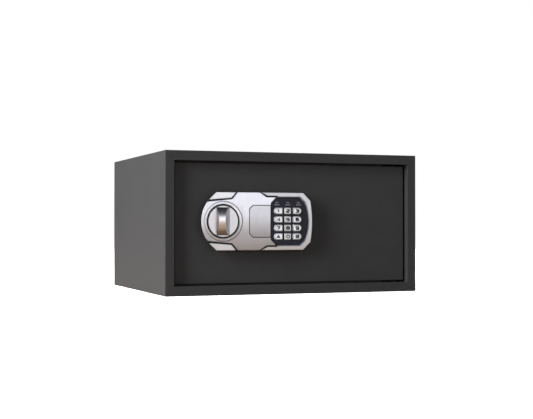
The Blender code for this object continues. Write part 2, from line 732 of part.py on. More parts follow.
def battery_limits(grow=0.0):
    """Width and height limits of the battery box, widened all round by an amount."""
    half_x = CELL_LENGTH / 2 + CELL_END_GAP + BOX_SHEET + grow
    half_z = CELL_PITCH * CELL_COUNT / 2 + BOX_SHEET + grow
    return (BATTERY_X - half_x, BATTERY_X + half_x), (PANEL_Z - half_z, PANEL_Z + half_z)


# Lock panel

def make_panel():
    pieces = [make_panel_base()]
    face = plate("panel_face", [face_outline(), circle((KNOB_X, 0), KNOB_RADIUS + KNOB_GAP)],
                 (FACE_FRONT, FACE_BACK), SILVER, PLATE_EDGE)
    inner = KNOB_RADIUS + KNOB_GAP + COLLAR_INSET
    collar = turned("collar", [
        (inner + COLLAR_WIDTH, -FACE_THICKNESS / 2),
        (inner, -FACE_THICKNESS / 2),
        (inner, COLLAR_RISE * 0.6),
        (inner + COLLAR_WIDTH * 0.15, COLLAR_RISE),
        (inner + COLLAR_WIDTH * 0.6, COLLAR_RISE),
        (inner + COLLAR_WIDTH, -COLLAR_SINK),
    ], (KNOB_CENTRE, FACE_FRONT, PANEL_Z))
    combine(face, collar, "UNION")
    pieces.append(face)
    for name, level in (("upper", 1), ("lower", -1)):
        pieces.append(plate(f"panel_trim_{name}", [trim_outline(level)],
                            (FACE_FRONT - FIT, FACE_BACK), SILVER, TRIM_EDGE))
    bezel = plate("keypad_bezel", [bezel_outline()], (FACE_FRONT - BEZEL_RISE, FACE_BACK),
                  SILVER, PLATE_EDGE)
    slope = plate("bezel_slope", [window_outline(FIT)],
                  (FACE_FRONT - 3 * BEZEL_SLOPE, FACE_FRONT + BEZEL_SLOPE), flare=BEZEL_SLOPE)
    combine(bezel, slope)
    pieces.append(bezel)
    return pieces + make_keypad() + make_override_barrel()


def make_panel_base():
    """Dark hollow base that carries the silver pieces."""
    inset = BASE_INSET
    base = plate("panel_base", [mirrored(right_end(inset) + left_end(inset))],
                 (BASE_FRONT, BASE_BACK), DARK_PLASTIC, PLATE_EDGE)
    inset = BASE_INSET + BASE_SHEET
    hollow = plate("base_hollow", [mirrored(right_end(inset) + left_end(inset))],
                   (BASE_FRONT + BASE_SHEET, BASE_BACK + BASE_SHEET))
    aperture = plate("base_aperture", [window_outline(-APERTURE_INSET)],
                     (BASE_FRONT - BASE_SHEET, BASE_BACK))
    spindle = rod("base_spindle_hole", (KNOB_CENTRE, BASE_FRONT, PANEL_Z), "Y",
                  SPINDLE_RADIUS + 2 * FIT, 4 * BASE_SHEET)
    barrel = rod("base_barrel_hole", (PANEL_X + OVERRIDE_X, BASE_FRONT, PANEL_Z), "Y",
                 BARREL_RADIUS + FIT, 4 * BASE_SHEET)
    for cutter in (hollow, aperture, spindle, barrel):
        combine(base, cutter)
    return base


def key_layout():
    """Name, centre, width, and left and right corner radii of each key."""
    side = (MIDDLE_KEY_WIDTH + OUTER_KEY_WIDTH) / 2 + KEY_GAP
    square = KEY_CORNER
    end = KEY_HEIGHT / 2 - 0.05 * MM
    columns = (
        (KEYPAD_X - side, OUTER_KEY_WIDTH, end, square),
        (KEYPAD_X, MIDDLE_KEY_WIDTH, square, square),
        (KEYPAD_X + side, OUTER_KEY_WIDTH, square, end),
    )
    names = ("1", "2", "3", "4", "5", "6", "7", "8", "9", "a", "0", "b")
    for index, name in enumerate(names):
        x, width, left, right = columns[index % 3]
        yield name, x, TOP_ROW_Z - KEY_PITCH * (index // 3), width, left, right


def make_keypad():
    window_front = FACE_FRONT + WINDOW_DROP
    key_front = window_front - KEY_RISE
    key_back = FACE_BACK + FIT / 2
    holes = []
    for name, x, z, width, left, right in key_layout():
        outline = rounded_box(x, z, width, KEY_HEIGHT, left, right)
        key = plate(f"key_{name}", [outline], (key_front, key_back), KEY_GREY, PLATE_EDGE)
        joint_axis(f"key_{name}_axis", (PANEL_X + x, key_front, PANEL_Z + z), [key])
        grow = 2 * KEY_CLEARANCE
        holes.append(rounded_box(x, z, width + grow, KEY_HEIGHT + grow,
                                 left + KEY_CLEARANCE, right + KEY_CLEARANCE))
    pieces = []
    for index in range(3):
        x = KEYPAD_X + (index - 1) * LIGHT_SPACING
        width, height = LIGHT_SIZE
        corner = height / 2 - 0.05 * MM
        light = rounded_box(x, LIGHT_Z, width, height, corner, corner)
        pieces.append(plate(f"status_light_{index + 1}", [light],
                            (window_front - FIT, FACE_BACK), GLOSS_BLACK, 0.15 * MM))
        holes.append(rounded_box(x, LIGHT_Z, width + FIT, height + FIT,
                                 corner + FIT / 2, corner + FIT / 2))
    pieces.append(plate("keypad_window", [window_outline()] + holes, (window_front, FACE_BACK),
                        GLOSS_BLACK))
    membrane_front = key_back + KEY_TRAVEL + FIT
    membrane_back = membrane_front + MEMBRANE_SHEET
    pieces.append(plate("key_membrane", [window_outline(-APERTURE_INSET - FIT)],
                        (membrane_front, membrane_back), RUBBER))
    board_front = BASE_FRONT + BASE_SHEET + FIT
    board = rounded_box(KEYPAD_X + BOARD_OFFSET, 0, *BOARD_SIZE, BOARD_CORNER, BOARD_CORNER)
    pieces.append(plate("circuit_board", [board], (board_front, board_front + BOARD_SHEET),
                        BOARD_GREEN))
    return pieces


def make_override_barrel():
    barrel_back = DOOR_BACK + BARREL_REACH
    middle = (BASE_FRONT + barrel_back) / 2
    centre = (PANEL_X + OVERRIDE_X, middle, PANEL_Z)
    length = barrel_back - BASE_FRONT
    barrel = rod("override_barrel", centre, "Y", BARREL_RADIUS, length, BARE_STEEL, 0.4 * MM)
    combine(barrel, rod("barrel_bore", centre, "Y", PLUG_RADIUS + FIT, 2 * length))
    plug = rod("override_plug", centre, "Y", PLUG_RADIUS, length, BRASS, 0.4 * MM)
    slot_x, slot_z = KEYWAY
    keyway = box("keyway", (centre[0] - slot_x / 2, centre[0] + slot_x / 2),
                 (BASE_FRONT - WALL, BASE_FRONT + KEYWAY_DEPTH),
                 (PANEL_Z - slot_z / 2, PANEL_Z + slot_z / 2))
    combine(plug, keyway)
    joint_axis("override_axis", centre, [plug])
    return [barrel]


def make_override_cover():
    """Plate that snaps into the face over the emergency lock."""
    left = OVERRIDE_LEFT + OVERRIDE_GAP
    right = WINDOW_LEFT - OVERRIDE_GAP
    top = OVERRIDE_HALF_HEIGHT - OVERRIDE_GAP
    upper = [(right, top), (left + OVERRIDE_CORNER, top), (left, top - OVERRIDE_CORNER)]
    cover = plate("override_cover", [mirrored(upper)], (FACE_FRONT + FIT, FACE_BACK), SILVER,
                  PLATE_EDGE)
    joint_axis("override_cover_axis", (PANEL_X + OVERRIDE_X, FACE_FRONT, PANEL_Z), [cover])
    return [cover]


# Knob and bolt work

def make_knob():
    """Disc with an arched grip; the grip's right flank is scooped out for the fingers."""
    centre_x = KNOB_CENTRE
    disc_y = (KNOB_FRONT + FACE_BACK) / 2
    knob = rod("knob", (centre_x, disc_y, PANEL_Z), "Y", KNOB_RADIUS, FACE_BACK - KNOB_FRONT,
               SILVER, 0.6 * MM, 48)
    arch_radius = (GRIP_HALF_HEIGHT ** 2 + GRIP_RISE ** 2) / (2 * GRIP_RISE)
    arch_y = KNOB_FRONT - GRIP_RISE + arch_radius
    width = GRIP_LEFT + GRIP_RIGHT
    grip_x = centre_x + (GRIP_RIGHT - GRIP_LEFT) / 2
    grip = rod("grip", (grip_x, arch_y, PANEL_Z), "X", arch_radius, width, sides=96)
    keep = box("grip_keep", (grip_x - width, grip_x + width),
               (KNOB_FRONT - 2 * GRIP_RISE, disc_y),
               (PANEL_Z - GRIP_HALF_HEIGHT, PANEL_Z + GRIP_HALF_HEIGHT))
    combine(grip, keep, "INTERSECT")
    run = GRIP_RIGHT - GRIP_RIDGE
    chord = math.hypot(run, GRIP_RISE)
    offset = math.sqrt(SCOOP_RADIUS ** 2 - (chord / 2) ** 2)
    scoop_x = centre_x + (GRIP_RIGHT + GRIP_RIDGE) / 2 + offset * GRIP_RISE / chord
    scoop_y = KNOB_FRONT - GRIP_RISE / 2 - offset * run / chord
    scoop = rod("scoop", (scoop_x, scoop_y, PANEL_Z), "Z", SCOOP_RADIUS, 3 * GRIP_HALF_HEIGHT,
                sides=48)
    combine(grip, scoop)
    waist = rod("waist", (centre_x - GRIP_LEFT + WAIST_DEPTH - WAIST_RADIUS, KNOB_FRONT, PANEL_Z), "Y",
                WAIST_RADIUS, 4 * GRIP_RISE, sides=160)
    combine(grip, waist)
    combine(knob, grip, "UNION")
    spindle_front = FACE_BACK + FIT
    spindle_back = CAM_BACK + SPINDLE_PROUD
    spindle = rod("knob_spindle", (centre_x, (spindle_front + spindle_back) / 2, PANEL_Z), "Y",
                  SPINDLE_RADIUS, spindle_back - spindle_front, BARE_STEEL, 0.4 * MM)
    pieces = [knob, spindle, make_cam()]
    joint_axis("knob_axis", (centre_x, KNOB_FRONT, PANEL_Z), pieces)
    return pieces


def make_cam():
    """Disc on the spindle whose pin drives the carriage's slot."""
    centre_x = KNOB_CENTRE
    cam = rod("cam_plate", (centre_x, (CAM_FRONT + CAM_BACK) / 2, PANEL_Z), "Y", CAM_RADIUS,
              CAM_SHEET, BARE_STEEL, 0.5 * MM, 32)
    combine(cam, rod("cam_bore", (centre_x, CAM_FRONT, PANEL_Z), "Y", SPINDLE_RADIUS + FIT,
                     4 * CAM_SHEET))
    pin_front = CAM_FRONT + CAM_SHEET / 2
    pin_back = CARRIAGE_BACK + FIT
    pin = rod("cam_pin", (centre_x + CAM_PIN_OFFSET, (pin_front + pin_back) / 2,
                          PANEL_Z + CAM_PIN_OFFSET), "Y", CAM_PIN_RADIUS, pin_back - pin_front)
    combine(cam, pin, "UNION")
    return cam


def make_bush():
    """Bush that carries the spindle in the door plate."""
    centre = (KNOB_CENTRE, (DOOR_FRONT + DOOR_BACK) / 2, PANEL_Z)
    bush = rod("spindle_bush", centre, "Y", SPINDLE_RADIUS + FIT + BUSH_WALL, DOOR_SHEET,
               BRASS, 0.4 * MM)
    combine(bush, rod("bush_bore", centre, "Y", SPINDLE_RADIUS + FIT, 4 * DOOR_SHEET))
    return [bush]


def tooth_left():
    return CARRIAGE_LEFT + TOOTH_INSET


def make_bolts():
    """Carriage with the cam's slot and the blocking tooth, and the two bolts it carries."""
    low = PANEL_Z - CARRIAGE_HALF_HEIGHT
    high = PANEL_Z + CARRIAGE_HALF_HEIGHT
    ys = (CARRIAGE_FRONT, CARRIAGE_BACK)
    carriage = box("bolt_carriage", (CARRIAGE_LEFT, CARRIAGE_RIGHT), ys, (low, high + TOOTH_HEIGHT),
                   BARE_STEEL)
    deep = (ys[0] - CARRIAGE_SHEET, ys[1] + CARRIAGE_SHEET)
    left = tooth_left()
    clear = high + 2 * TOOTH_HEIGHT
    combine(carriage, box("tooth_left_side", (CARRIAGE_LEFT - WALL, left), deep, (high, clear)))
    combine(carriage, box("tooth_right_side", (left + TOOTH_WIDTH, CARRIAGE_RIGHT + WALL), deep,
                          (high, clear)))
    half = CAM_PIN_RADIUS + SLOT_CLEARANCE
    slot_x = KNOB_CENTRE + CAM_PIN_OFFSET
    combine(carriage, box("cam_slot", (slot_x - half, slot_x + half), deep,
                          (PANEL_Z + CAM_PIN_OFFSET - half, PANEL_Z + CAM_PIN_THROW + half)))
    pieces = [carriage]
    for name, z in BOLT_ZS.items():
        centre = (BOLT_TIP + BOLT_LENGTH / 2, BOLT_Y, z)
        pieces.append(rod(f"bolt_{name}", centre, "X", BOLT_RADIUS, BOLT_LENGTH, BARE_STEEL,
                          1.2 * MM))
    joint_axis("bolt_axis", (BOLT_TIP, BOLT_Y, PANEL_Z), pieces)
    return pieces


def make_guides():
    """Plates on the door that the bolts slide through."""
    pieces = []
    low = BOLT_ZS["lower"] - BOLT_RADIUS - GUIDE_END_MARGIN
    high = BOLT_ZS["upper"] + BOLT_RADIUS + GUIDE_END_MARGIN
    for name, x in (("outer", OUTER_GUIDE_X), ("inner", INNER_GUIDE_X)):
        guide = box(f"bolt_guide_{name}", (x, x + GUIDE_SHEET),
                    (DOOR_BACK + FIT, BOLT_Y + BOLT_RADIUS + GUIDE_REAR_MARGIN), (low, high),
                    BARE_STEEL, PLATE_EDGE)
        for bolt, z in BOLT_ZS.items():
            combine(guide, rod(f"guide_hole_{name}_{bolt}", (x, BOLT_Y, z), "X",
                               BOLT_RADIUS + FIT, 6 * GUIDE_SHEET))
        pieces.append(guide)
    return pieces


def make_solenoid():
    """Solenoid whose plunger drops behind the carriage's tooth when the bolts are out."""
    x = tooth_left() + TOOTH_WIDTH - BOLT_TRAVEL + PLUNGER_CLEARANCE + PLUNGER_RADIUS
    y = (CARRIAGE_FRONT + CARRIAGE_BACK) / 2
    tip = PANEL_Z + CARRIAGE_HALF_HEIGHT + TOOTH_HEIGHT + PLUNGER_CLEARANCE
    low = tip + PLUNGER_PROUD
    high = COVER_HIGH - COVER_SHEET - FIT
    half = SOLENOID_SIZE / 2
    middle = y + SOLENOID_OFFSET
    body = box("solenoid_body", (x - half, x + half), (middle - half, middle + half), (low, high),
               BARE_STEEL, 1 * MM)
    top = high - SOLENOID_TOP
    combine(body, rod("solenoid_bore", (x, y, low), "Z", PLUNGER_RADIUS + FIT,
                      2 * (top - low)))
    length = top - tip - 2 * FIT
    plunger = rod("solenoid_plunger", (x, y, tip + length / 2), "Z", PLUNGER_RADIUS, length,
                  BARE_STEEL, 0.4 * MM, 24)
    joint_axis("solenoid_axis", (x, y, tip), [plunger])
    return [body, plunger]


# Battery box, reset button and lead

def make_battery_box():
    xs, zs = battery_limits()
    rear = COVER_BACK - COVER_SHEET - FIT
    front = rear - 2 * CELL_RADIUS - BOX_SHEET - CELL_REAR_GAP
    tray = box("battery_box", xs, (front, rear), zs, DARK_PLASTIC, 1 * MM)
    inner_x, inner_z = battery_limits(-BOX_SHEET)
    combine(tray, box("tray_hollow", inner_x, (front + BOX_SHEET, rear + BOX_SHEET), inner_z))
    pieces = [tray]
    cell_y = front + BOX_SHEET + CELL_RADIUS + FIT
    for index in range(CELL_COUNT):
        z = PANEL_Z + (index - (CELL_COUNT - 1) / 2) * CELL_PITCH
        pieces.append(rod(f"battery_cell_{index + 1}", (BATTERY_X, cell_y, z), "X", CELL_RADIUS,
                          CELL_LENGTH, BRASS, 0.6 * MM, 24))
    cover_x, cover_z = battery_limits(BATTERY_COVER_LAP)
    cover = box("battery_cover", cover_x,
                (COVER_BACK + FIT, COVER_BACK + FIT + BATTERY_COVER_SHEET), cover_z,
                DARK_PLASTIC, 0.6 * MM)
    joint_axis("battery_cover_axis", (BATTERY_X, COVER_BACK, PANEL_Z), [cover])
    lead_end = Vector((xs[0] - FIT, (front + rear) / 2, LEAD_Z))
    return pieces + [cover] + make_lead(lead_end)


def make_lead(end):
    """Short lead from the circuit board through the door plate to the battery box."""
    board_back = BASE_FRONT + BASE_SHEET + FIT + BOARD_SHEET
    start = Vector((LEAD_X, board_back + FIT, LEAD_Z))
    first = start + Vector((0, LEAD_STRAIGHT, 0))
    last = end - Vector((LEAD_STRAIGHT, 0, 0))
    swing = last.y - first.y
    bend = interpolate_bezier(first, first + Vector((0, swing, 0)),
                              last - Vector((swing, 0, 0)), last, 16)
    route = [start, *bend, end]
    curve = bpy.data.curves.new("wiring_lead", "CURVE")
    curve.dimensions = "3D"
    curve.bevel_depth = LEAD_RADIUS
    curve.bevel_resolution = 2
    curve.use_fill_caps = True
    spline = curve.splines.new("POLY")
    spline.points.add(len(route) - 1)
    for point, place in zip(spline.points, route):
        point.co = (*place, 1)
    return [curve_piece("wiring_lead", curve, Matrix.Identity(4), RUBBER)]


def make_reset_button():
    rear = COVER_BACK + RESET_TRAVEL
    button = rod("reset_button", (RESET_X, rear - RESET_LENGTH / 2, RESET_Z), "Y",
                 RESET_RADIUS, RESET_LENGTH, RED_PLASTIC, 0.6 * MM, 24)
    joint_axis("reset_axis", (RESET_X, rear, RESET_Z), [button])
    return [button]


def main():
    start_scene()
    make_body()
    door_pieces = make_door() + make_panel() + make_bush() + make_guides()
    make_knob()
    make_bolts()
    make_solenoid()
    make_override_cover()
    make_battery_box()
    make_reset_button()
    joint_axis("door_axis", (HINGE_X, HINGE_Y, BODY_HEIGHT / 2), door_pieces)


main()
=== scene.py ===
"""Looks of the in-room safe: camera, studio, finishes and the fine surface of every piece."""
import json
import math

import bmesh
import bpy
from mathutils import Matrix, Vector


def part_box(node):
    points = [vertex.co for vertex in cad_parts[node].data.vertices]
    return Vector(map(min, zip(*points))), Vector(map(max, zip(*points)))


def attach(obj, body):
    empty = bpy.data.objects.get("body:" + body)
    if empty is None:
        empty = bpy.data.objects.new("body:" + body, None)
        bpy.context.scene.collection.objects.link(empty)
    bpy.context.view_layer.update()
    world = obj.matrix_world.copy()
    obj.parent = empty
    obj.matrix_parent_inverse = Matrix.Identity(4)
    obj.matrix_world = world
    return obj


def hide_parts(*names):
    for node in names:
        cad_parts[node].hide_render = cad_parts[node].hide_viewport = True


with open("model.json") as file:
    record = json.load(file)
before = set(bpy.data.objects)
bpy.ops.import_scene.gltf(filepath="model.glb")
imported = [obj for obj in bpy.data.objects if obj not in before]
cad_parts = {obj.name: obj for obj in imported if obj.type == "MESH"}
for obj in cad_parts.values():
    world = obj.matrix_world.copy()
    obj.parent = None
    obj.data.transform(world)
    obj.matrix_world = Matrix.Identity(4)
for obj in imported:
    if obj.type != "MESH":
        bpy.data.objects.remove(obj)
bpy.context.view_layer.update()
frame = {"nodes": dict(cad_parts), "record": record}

MM = 0.001
NODES = frame["nodes"]
BODIES = frame["record"]["behaviour"]["bodies"]
BODY_OF = {node: body for body, members in BODIES.items() for node in members}
SLOT_OF = {entry["node"]: entry["material_slot"] for entry in frame["record"]["subparts"]}
SAFE_LOW, SAFE_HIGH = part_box("body_shell")
FACE_LOW, FACE_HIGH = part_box("panel_face")

# Camera, in degrees, metres and millimetres of lens
SENSOR_WIDTH = 36.0
LENS = 74.77
CAMERA_AZIMUTH = -20.27
CAMERA_ELEVATION = -0.77
CAMERA_DISTANCE = 1.896
TARGET_X = 0.0162
TARGET_Z = 0.1338
NEAREST = 0.05
FARTHEST = 50.0

# Studio: each light's name, place, size, power, colour and whether metal mirrors it
LIGHT_TARGET = (0.0, 0.0, 0.11)
WHITE = (1.0, 1.0, 1.0)
LIGHTS = (
    ("left_softbox", (-2.3, -0.55, 0.95), (1.4, 1.6), 372.0, WHITE, False),
    ("front_softbox", (0.95, -2.62, 0.5), (1.5, 1.3), 10.5, WHITE, True),
    ("top_softbox", (-0.3, -1.4, 2.6), (1.8, 1.0), 28.0, (0.94, 0.96, 1.0), False),
    ("rear_softbox", (2.0, 1.7, 1.1), (1.6, 1.2), 110.0, WHITE, False),
)
FLOOR_HALF = 12.0
FLOOR_GREY = (0.7, 0.7, 0.7)
FLOOR_GLOW = 0.9
FLOOR_BOUNCE = (0.30, 0.26, 0.23)

NOISE_LOW = 0.3  # most of a noise lies between these two
NOISE_HIGH = 0.7

# Colour stops: (place from 0 to 1, colour)
ROOM_TONES = (
    (0.0, (0.16, 0.14, 0.12)),
    (0.46, (0.30, 0.285, 0.28)),
    (0.56, (0.42, 0.43, 0.46)),
    (0.75, (0.20, 0.20, 0.22)),
    (1.0, (0.05, 0.05, 0.06)),
)
# Painted light: the silver face is light and cool at the top and darker and warmer at the bottom, a
# painted reflection of the room
FACE_PAINTED_LIGHT_TONES = (
    (0.0, (0.215, 0.19, 0.18)),
    (0.28, (0.33, 0.315, 0.32)),
    (0.62, (0.60, 0.612, 0.665)),
    (1.0, (0.64, 0.665, 0.75)),
)
# The override cover carries the face's painted light, darker overall
COVER_SHADE = 0.82  # of the face's tones
# Painted highlight on the collar's crest and painted shade on its outer slope, as shares of the
# face's tones
COLLAR_PAINTED_HIGHLIGHT = 1.15
COLLAR_SLOPE_PAINTED_SHADE = 0.58
# Painted light from top to bottom on the trims
TRIM_PAINTED_LIGHT_TONES = (
    (0.0, (0.46, 0.45, 0.455)),
    (0.5, (0.48, 0.485, 0.505)),
    (1.0, (0.61, 0.625, 0.67)),
)
# Painted light from top to bottom on the keypad bezel
BEZEL_PAINTED_LIGHT_TONES = (
    (0.0, (0.36, 0.345, 0.34)),
    (0.5, (0.46, 0.46, 0.475)),
    (1.0, (0.45, 0.46, 0.49)),
)
# Painted reflection along the grip's arch, by height: dark top, painted highlight in the middle,
# warm dark bottom
GRIP_PAINTED_REFLECTION_TONES = (
    (0.04, (0.13, 0.11, 0.10)),
    (0.18, (0.19, 0.14, 0.105)),
    (0.30, (0.46, 0.38, 0.31)),
    (0.42, (0.56, 0.50, 0.47)),
    (0.56, (0.68, 0.67, 0.67)),
    (0.66, (0.80, 0.80, 0.82)),
    (0.78, (0.46, 0.46, 0.49)),
    (0.90, (0.21, 0.21, 0.22)),
)


# Camera and studio

def look_from(location, target):
    """Matrix of a camera or light that stands at location and faces target."""
    location = Vector(location)
    facing = (location - Vector(target)).normalized().to_track_quat("Z", "Y")
    return Matrix.Translation(location) @ facing.to_matrix().to_4x4()


def make_camera():
    data = bpy.data.cameras.new("camera")
    camera = bpy.data.objects.new("camera", data)
    bpy.context.scene.collection.objects.link(camera)
    middle_y = (SAFE_LOW.y + SAFE_HIGH.y) / 2
    data.sensor_width = SENSOR_WIDTH
    data.lens = LENS
    azimuth = math.radians(CAMERA_AZIMUTH)
    elevation = math.radians(CAMERA_ELEVATION)
    target = Vector((TARGET_X, middle_y, TARGET_Z))
    back = Vector((math.sin(azimuth) * math.cos(elevation),
                   -math.cos(azimuth) * math.cos(elevation), math.sin(elevation)))
    camera.matrix_world = look_from(target + back * CAMERA_DISTANCE, target)
    data.clip_start = NEAREST
    data.clip_end = FARTHEST
    bpy.context.scene.camera = camera


def area_light(name, location, size, power, colour, mirrored):
    """Soft rectangular light; one that isn't mirrored leaves no glint on metal."""
    data = bpy.data.lights.new(name, "AREA")
    data.shape = "RECTANGLE"
    data.size, data.size_y = size
    data.energy = power
    data.color = colour
    light = bpy.data.objects.new(name, data)
    light.matrix_world = look_from(location, LIGHT_TARGET)
    light.visible_glossy = mirrored
    bpy.context.scene.collection.objects.link(light)


def make_world():
    """Soft studio room: bright around the horizon, dim overhead, behind a plain white backdrop."""
    world = bpy.data.worlds.new("studio")
    world.use_nodes = True
    tree = world.node_tree
    tree.nodes.clear()
    output = tree.nodes.new("ShaderNodeOutputWorld")
    mix = tree.nodes.new("ShaderNodeMixShader")
    rays = tree.nodes.new("ShaderNodeLightPath")
    room = tree.nodes.new("ShaderNodeBackground")
    place = tree.nodes.new("ShaderNodeTexCoord")
    split = tree.nodes.new("ShaderNodeSeparateXYZ")
    tree.links.new(place.outputs["Generated"], split.inputs[0])
    level = span(tree, split.outputs["Z"], 0.0, 1.0, -1.0, 1.0)
    tree.links.new(ramp(tree, level, ROOM_TONES), room.inputs["Color"])
    backdrop = tree.nodes.new("ShaderNodeBackground")
    backdrop.inputs["Color"].default_value = (1.0, 1.0, 1.0, 1.0)
    tree.links.new(rays.outputs["Is Camera Ray"], mix.inputs["Fac"])
    tree.links.new(room.outputs[0], mix.inputs[1])
    tree.links.new(backdrop.outputs[0], mix.inputs[2])
    tree.links.new(mix.outputs[0], output.inputs["Surface"])
    bpy.context.scene.world = world


def make_floor():
    """Plain pale floor that bounces a little warm light back at the safe."""
    shape = bmesh.new()
    bmesh.ops.create_grid(shape, x_segments=1, y_segments=1, size=FLOOR_HALF)
    mesh = mesh_from("floor", shape)
    floor = bpy.data.objects.new("floor", mesh)
    bpy.context.scene.collection.objects.link(floor)
    material, tree, shader = new_material("floor", FLOOR_GREY, roughness=0.9)
    shader.inputs["Specular IOR Level"].default_value = 0.0
    shader.inputs["Emission Color"].default_value = (1.0, 1.0, 1.0, 1.0)
    shader.inputs["Emission Strength"].default_value = FLOOR_GLOW
    bounce = tree.nodes.new("ShaderNodeBsdfDiffuse")
    bounce.inputs["Color"].default_value = (*FLOOR_BOUNCE, 1.0)
    rays = tree.nodes.new("ShaderNodeLightPath")
    mix = tree.nodes.new("ShaderNodeMixShader")
    tree.links.new(rays.outputs["Is Camera Ray"], mix.inputs["Fac"])
    tree.links.new(bounce.outputs[0], mix.inputs[1])
    tree.links.new(shader.outputs[0], mix.inputs[2])
    tree.links.new(mix.outputs[0], tree.nodes["Material Output"].inputs["Surface"])
    mesh.materials.append(material)


def make_studio():
    make_world()
    make_floor()
    for light in LIGHTS:
        area_light(*light)
    bpy.context.scene.view_settings.view_transform = "Standard"


# Node helpers for materials

def new_material(name, colour, roughness, metallic=0.0):
    material = bpy.data.materials.new(name)
    material.use_nodes = True
    shader = material.node_tree.nodes["Principled BSDF"]
    shader.inputs["Base Color"].default_value = (*colour, 1.0)
    shader.inputs["Roughness"].default_value = roughness
    shader.inputs["Metallic"].default_value = metallic
    return material, material.node_tree, shader


def object_noise(tree, scale, detail=2.0, stretch=(1.0, 1.0, 1.0)):
    """Noise in the piece's own coordinates; scale is in features per metre."""
    place = tree.nodes.new("ShaderNodeTexCoord")
    spread = tree.nodes.new("ShaderNodeMapping")
    spread.inputs["Scale"].default_value = stretch
    noise = tree.nodes.new("ShaderNodeTexNoise")
    noise.inputs["Scale"].default_value = scale
    noise.inputs["Detail"].default_value = detail
    tree.links.new(place.outputs["Object"], spread.inputs["Vector"])
    tree.links.new(spread.outputs["Vector"], noise.inputs["Vector"])
    return noise.outputs["Fac"]


def span(tree, value, low, high, from_low=NOISE_LOW, from_high=NOISE_HIGH):
    """Map a value onto a range of numbers."""
    mapping = tree.nodes.new("ShaderNodeMapRange")
    mapping.inputs["From Min"].default_value = from_low
    mapping.inputs["From Max"].default_value = from_high
    mapping.inputs["To Min"].default_value = low
    mapping.inputs["To Max"].default_value = high
    tree.links.new(value, mapping.inputs["Value"])
    return mapping.outputs["Result"]


def ramp(tree, value, stops):
    """Colour ramp through (position, colour) stops."""
    node = tree.nodes.new("ShaderNodeValToRGB")
    elements = node.color_ramp.elements
    while len(elements) < len(stops):
        elements.new(0.5)
    for element, (position, colour) in zip(elements, stops):
        element.position = position
        element.color = (*colour, 1.0)
    tree.links.new(value, node.inputs["Fac"])
    return node.outputs["Color"]


def shades(dark, light):
    """Colour stops for noise, most of which lies between the two places."""
    return ((NOISE_LOW, dark), (NOISE_HIGH, light))


def add_bump(tree, shader, height, depth, strength):
    bump = tree.nodes.new("ShaderNodeBump")
    bump.inputs["Distance"].default_value = depth
    bump.inputs["Strength"].default_value = strength
    tree.links.new(height, bump.inputs["Height"])
    tree.links.new(bump.outputs["Normal"], shader.inputs["Normal"])


def multiplied(tree, first, second):
    """Product of two colours."""
    mix = tree.nodes.new("ShaderNodeMix")
    mix.data_type = "RGBA"
    mix.blend_type = "MULTIPLY"
    mix.inputs["Factor"].default_value = 1.0
    sockets = [socket for socket in mix.inputs if socket.type == "RGBA"]
    for socket, colour in zip(sockets, (first, second)):
        tree.links.new(colour, socket)
    return [socket for socket in mix.outputs if socket.type == "RGBA"][0]


# Finishes

def powder_coat(tone=0.0198, roughness=0.5):
    """Matt black powder coat with its fine orange-peel grain."""
    material, tree, shader = new_material("powder_coat", (tone, tone, tone), roughness)
    fine = object_noise(tree, scale=1700.0, detail=2.0)
    broad = object_noise(tree, scale=35.0, detail=2.0)
    dark = (tone * 0.96, tone * 0.96, tone * 0.98)
    light = (tone * 1.04, tone * 1.04, tone * 1.06)
    cloudy = ramp(tree, broad, shades(dark, light))
    speck = ramp(tree, fine, ((0.35, (0.8, 0.8, 0.8)), (0.7, (1.0, 1.0, 1.0))))
    colour = multiplied(tree, cloudy, speck)
    tree.links.new(colour, shader.inputs["Base Color"])
    tree.links.new(span(tree, fine, roughness - 0.06, roughness + 0.08), shader.inputs["Roughness"])
    add_bump(tree, shader, fine, depth=0.00008, strength=0.55)
    shader.inputs["Specular IOR Level"].default_value = 0.15
    return material


def steel(tone=0.52):
    """Zinc-plated steel with faint drawn lines."""
    material, tree, shader = new_material("steel", (tone, tone, tone), roughness=0.32, metallic=1.0)
    lines = object_noise(tree, scale=240.0, detail=3.0, stretch=(1.0, 1.0, 14.0))
    cloud = object_noise(tree, scale=60.0, detail=3.0)
    colour = ramp(tree, cloud, shades((tone * 0.85, tone * 0.86, tone * 0.84),
                                      (tone * 1.1, tone * 1.1, tone * 1.12)))
    tree.links.new(colour, shader.inputs["Base Color"])
    tree.links.new(span(tree, lines, 0.24, 0.42), shader.inputs["Roughness"])
    add_bump(tree, shader, lines, depth=0.00003, strength=0.5)
    return material


def painted_light_by_height(tree, low, high, stops):
    """Colour that changes with height on the piece, between two heights; it paints light and shade
    onto the surface.
    """
    place = tree.nodes.new("ShaderNodeTexCoord")
    split = tree.nodes.new("ShaderNodeSeparateXYZ")
    tree.links.new(place.outputs["Object"], split.inputs[0])
    level = span(tree, split.outputs["Z"], 0.0, 1.0, low, high)
    return ramp(tree, level, stops)


def shaded(tones, share):
    """The same colour stops, lighter or darker."""
    return tuple((place, tuple(share * c for c in tone)) for place, tone in tones)


def silver(name, tones, roughness=0.34):
    """Satin silver lacquer with painted light: cool and light at the top, warmer and darker towards
    the bottom, a painted reflection of the room.
    """
    material, tree, shader = new_material(name, (0.6, 0.6, 0.64), roughness, metallic=0.75)
    tone = painted_light_by_height(tree, FACE_LOW.z, FACE_HIGH.z, tones)
    flake = object_noise(tree, scale=2600.0, detail=1.0)
    grain = object_noise(tree, scale=420.0, detail=2.0, stretch=(1.0, 1.0, 0.12))
    sparkle = ramp(tree, flake, shades((0.93, 0.93, 0.93), (1.0, 1.0, 1.0)))
    colour = multiplied(tree, tone, sparkle)
    tree.links.new(colour, shader.inputs["Base Color"])
    tree.links.new(span(tree, grain, roughness - 0.04, roughness + 0.06),
                   shader.inputs["Roughness"])
    add_bump(tree, shader, grain, depth=0.00002, strength=0.4)
    shader.inputs["Coat Weight"].default_value = 0.15
    shader.inputs["Coat Roughness"].default_value = 0.2
    return material


